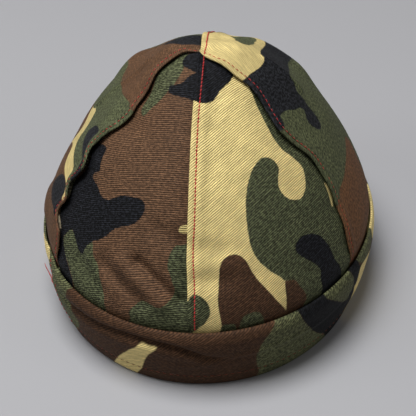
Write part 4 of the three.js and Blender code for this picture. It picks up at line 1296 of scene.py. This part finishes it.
def drill(name, dyes=DYES, groove_shade_depth=0.8, softness=0.35, soak=0.0, bump=0.6, fineness=1.0):
    """A drill cloth. soak is the share of paleness that the wrong side has over the print."""
    material, step, shader = new_material(name)
    weave = step.attribute("weave", "Vector")
    ribs = step.group(twill, Weave=weave, Rib_Width=RIB_WIDTH, Float_Length=TWILL_FLOAT)
    fuzz = step.group(nap, Weave=weave, Fineness=fineness)
    colour, contrast = dyes["ground"], GROUND_CONTRAST
    for layer, ragged, layer_contrast in PRINT:
        distance = step.attribute(f"print_{layer}")
        edge = step.group(print_edge, Distance=distance, Weave=weave, Softness=softness, Raggedness=ragged)
        colour = step.mix(edge["Mask"], colour, dyes[layer])
        contrast = step.blend(edge["Mask"], contrast, layer_contrast)
    if soak:
        colour = step.mix(soak, colour, PALE_BACK)
    # Painted shade: the colour is darkened in the grooves between the ribs.
    groove = step.math("MULTIPLY_ADD", ribs["Groove"], -groove_shade_depth, 1.0)
    streaks = step.math("MULTIPLY_ADD", ribs["Streak"], 0.8, 0.6)
    # Painted highlight, partly pale fibres: the ribs' crests are lightened and counted in with the nap's
    # specks.
    crest_highlight = step.math("MULTIPLY", step.math("POWER", ribs["Height"], CREST_SHARPNESS), CREST_HIGHLIGHT)
    lightness = step.math("SUBTRACT", step.math("ADD", fuzz["Speck"], crest_highlight), MEAN_LIGHTNESS)
    specks = step.math("MAXIMUM", step.math("MULTIPLY_ADD", lightness, contrast, 1.0), DARKEST_SPECK)
    mottle = step.math("MULTIPLY_ADD", fuzz["Mottle"], 0.5, 0.75)
    weave_shade, tone_and_crest_highlight = step.math("MULTIPLY", groove, streaks), step.math("MULTIPLY", specks, mottle)
    shade = step.math("MULTIPLY", weave_shade, tone_and_crest_highlight)
    shade = step.math("MAXIMUM", shade, DARKEST_SHADE)
    lit = step.add("ShaderNodeHueSaturation", Color=colour, Value=shade).outputs[0]
    step.feed(shader.inputs["Base Color"], lit)
    step.feed(shader.inputs["Roughness"], step.math("MULTIPLY_ADD", fuzz["Mottle"], 0.16, 0.62))
    relief = step.math("ADD", ribs["Height"], step.math("MULTIPLY", fuzz["Speck"], 0.6))
    relief = step.add("ShaderNodeBump", Strength=bump, Distance=CLOTH_RELIEF, Height=relief).outputs[0]
    step.feed(shader.inputs["Normal"], relief)
    shader.inputs["Specular IOR Level"].default_value = 0.13
    return material


crown_drill = drill("crown_woodland_drill")
front_drill = drill("front_drill_with_painted_light", FRONT_DYES_WITH_PAINTED_LIGHT, groove_shade_depth=0.35, bump=0.4, fineness=1.1)
band_drill = drill("band_drill_with_painted_light", BAND_DYES_WITH_PAINTED_LIGHT, groove_shade_depth=0.45, softness=0.5, bump=0.5)
bill_drill = drill("bill_woodland_drill")
wrong_side = drill("drill_wrong_side", soak=0.6, groove_shade_depth=0.6)

# %% Spin the thread


def thread_finish(name, colour, dark):
    """Twisted thread, with painted shade where its strands meet."""
    material, step, shader = new_material(name)
    weave = step.attribute("weave", "Vector")
    twist = step.group(twill, Weave=weave, Rib_Width=0.5, Float_Length=9.0, Unevenness=0.0)
    # Painted shade: the thread's colour turns towards the dark one in the grooves between its strands.
    step.feed(shader.inputs["Base Color"], step.mix(twist["Groove"], colour, dark))
    step.feed(shader.inputs["Roughness"], step.math("MULTIPLY_ADD", twist["Height"], -0.15, 0.6))
    relief = step.add("ShaderNodeBump", Strength=0.6, Distance=0.0001, Height=twist["Height"]).outputs[0]
    step.feed(shader.inputs["Normal"], relief)
    return material


red_thread = thread_finish("red_polyester_thread", linear(192, 38, 36), linear(112, 16, 20))
rust_thread = thread_finish("rust_thread", linear(142, 62, 34), linear(90, 36, 20))

# %% [markdown]
# ## Put the pieces in the frame
# Every piece now gets its finish, rides on the cap's one body and stands for the solid whose place it
# takes. The red thread is extra, so it replaces nothing.

# %% Dress and place the pieces
for panel, piece in crown.items():
    piece.data.materials.append(front_drill if "front" in panel else crown_drill)
    piece.data.materials.append(wrong_side)
    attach(piece, "root")
    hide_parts(panel)
for piece, material, node, slot in (
    (band, band_drill, "band", "band_drill"),
    (bill, bill_drill, "bill", "bill_drill"),
):
    piece.data.materials.append(material)
    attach(piece, "root")
    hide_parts(node)
for piece in threads:
    piece.data.materials.append(rust_thread if piece is hem_stitching else red_thread)
    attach(piece, "root")

# %% [markdown]
# ## Floor and light
# The cap rests on a plain pale floor under soft studio light: one large lamp above the back of the cap, a
# weaker one to each side, and an even surround. Large lamps give the soft shadow under the band's roll
# and keep the folds readable without hard edges.

# %% Lay the floor
FLOOR_HALF, FLOOR_CELLS, FLOOR_LEVEL = 3.0, 24, -0.0002  # m, cells along a side, m


def lay_floor():
    """A pale floor of square cells, just under the cap."""
    steps = np.linspace(-FLOOR_HALF, FLOOR_HALF, FLOOR_CELLS + 1)
    x, y = np.meshgrid(steps, steps)
    points = np.stack([x.ravel(), y.ravel(), np.full(x.size, FLOOR_LEVEL)], -1)
    number = np.arange(x.size).reshape(x.shape)
    corners = number[:-1, :-1], number[:-1, 1:], number[1:, 1:], number[1:, :-1]
    faces = np.stack(corners, -1).reshape(-1, 4)
    mesh = bpy.data.meshes.new("floor")
    mesh.from_pydata(points.tolist(), [], faces.tolist())
    floor = bpy.data.objects.new("floor", mesh)
    bpy.context.scene.collection.objects.link(floor)
    material, step, shader = new_material("pale_floor")
    where = step.add("ShaderNodeTexCoord").outputs["Object"]
    cloud = step.add("ShaderNodeTexNoise", Vector=where, Scale=1.5, Detail=2.0).outputs[0]
    step.feed(shader.inputs["Base Color"], step.mix(cloud, linear(150, 150, 154), linear(155, 155, 158)))
    shader.inputs["Roughness"].default_value = 0.85
    mesh.materials.append(material)


lay_floor()

# %% Hang the lamps
def soft_lamp(name, place, aim, size, power):
    """A round lamp at a place, turned to what it lights."""
    lamp = bpy.data.lights.new(name, "AREA")
    lamp.shape, lamp.size, lamp.energy = "DISK", size, power
    holder = bpy.data.objects.new(name, lamp)
    holder.location = place
    holder.rotation_euler = (Vector(aim) - Vector(place)).to_track_quat("-Z", "Y").to_euler()
    bpy.context.scene.collection.objects.link(holder)


CAP_MIDDLE = (0.0, APEX_Y, 0.07)
LAMPS = (  # name, place, size in m, power in W
    ("overhead", (-0.25, -0.15, 1.5), 0.95, 30.0),
    ("left_side", (-1.3, -0.5, 0.9), 0.9, 5.0),
    ("right_side", (1.3, -0.5, 0.7), 0.9, 2.6),
)
for lamp_name, lamp_place, size, power in LAMPS:
    soft_lamp(lamp_name, lamp_place, CAP_MIDDLE, size, power)
surround = bpy.data.worlds.new("studio")
surround.use_nodes = True
surround.node_tree.nodes["Background"].inputs["Color"].default_value = linear(220, 217, 209)
surround.node_tree.nodes["Background"].inputs["Strength"].default_value = 0.16
bpy.context.scene.world = surround
bpy.context.scene.view_settings.view_transform = "Standard"

# %% [markdown]
# ## Camera
# The camera looks down on the back of the cap from a good distance, so the panels hardly converge. Its
# turn, elevation and roll were found by laying the outline and the seams over the view. Depth of field
# stays off.

# %% Set the camera
VIEW_TURN, VIEW_ELEVATION, VIEW_ROLL = np.radians((7.552, 37.916, 1.957))
VIEW_DISTANCE, LENS, SENSOR = 691.2, 117.17, 36.0  # mm
AIM = np.array((0, 0, BAND_HEIGHT + 0.4 * CROWN_RISE))
SIDE_STEP, RISE_STEP = 1.465, -26.87  # mm by which the view is moved to frame the cap
turn_sin, turn_cos = np.sin(VIEW_TURN), np.cos(VIEW_TURN)
fall, run = np.sin(VIEW_ELEVATION), np.cos(VIEW_ELEVATION)
level_right = np.array((turn_cos, turn_sin, 0))
forward = np.array((-turn_sin * run, turn_cos * run, -fall))
level_up = np.array((-turn_sin * fall, turn_cos * fall, run))
eye = AIM - VIEW_DISTANCE * forward + SIDE_STEP * level_right + RISE_STEP * level_up
roll_sin, roll_cos = np.sin(VIEW_ROLL), np.cos(VIEW_ROLL)
right = roll_cos * level_right - roll_sin * level_up
upward = roll_sin * level_right + roll_cos * level_up
camera_data = bpy.data.cameras.new("camera")
camera_data.lens, camera_data.sensor_width = LENS, SENSOR
camera = bpy.data.objects.new("camera", camera_data)
placing = np.eye(4)
placing[:3, :3] = np.stack([right, upward, -forward], 1)
placing[:3, 3] = in_frame(eye)
camera.matrix_world = Matrix(placing.tolist())
bpy.context.scene.collection.objects.link(camera)
bpy.context.scene.camera = camera
print("camera at", [round(v, 3) for v in in_frame(eye)])
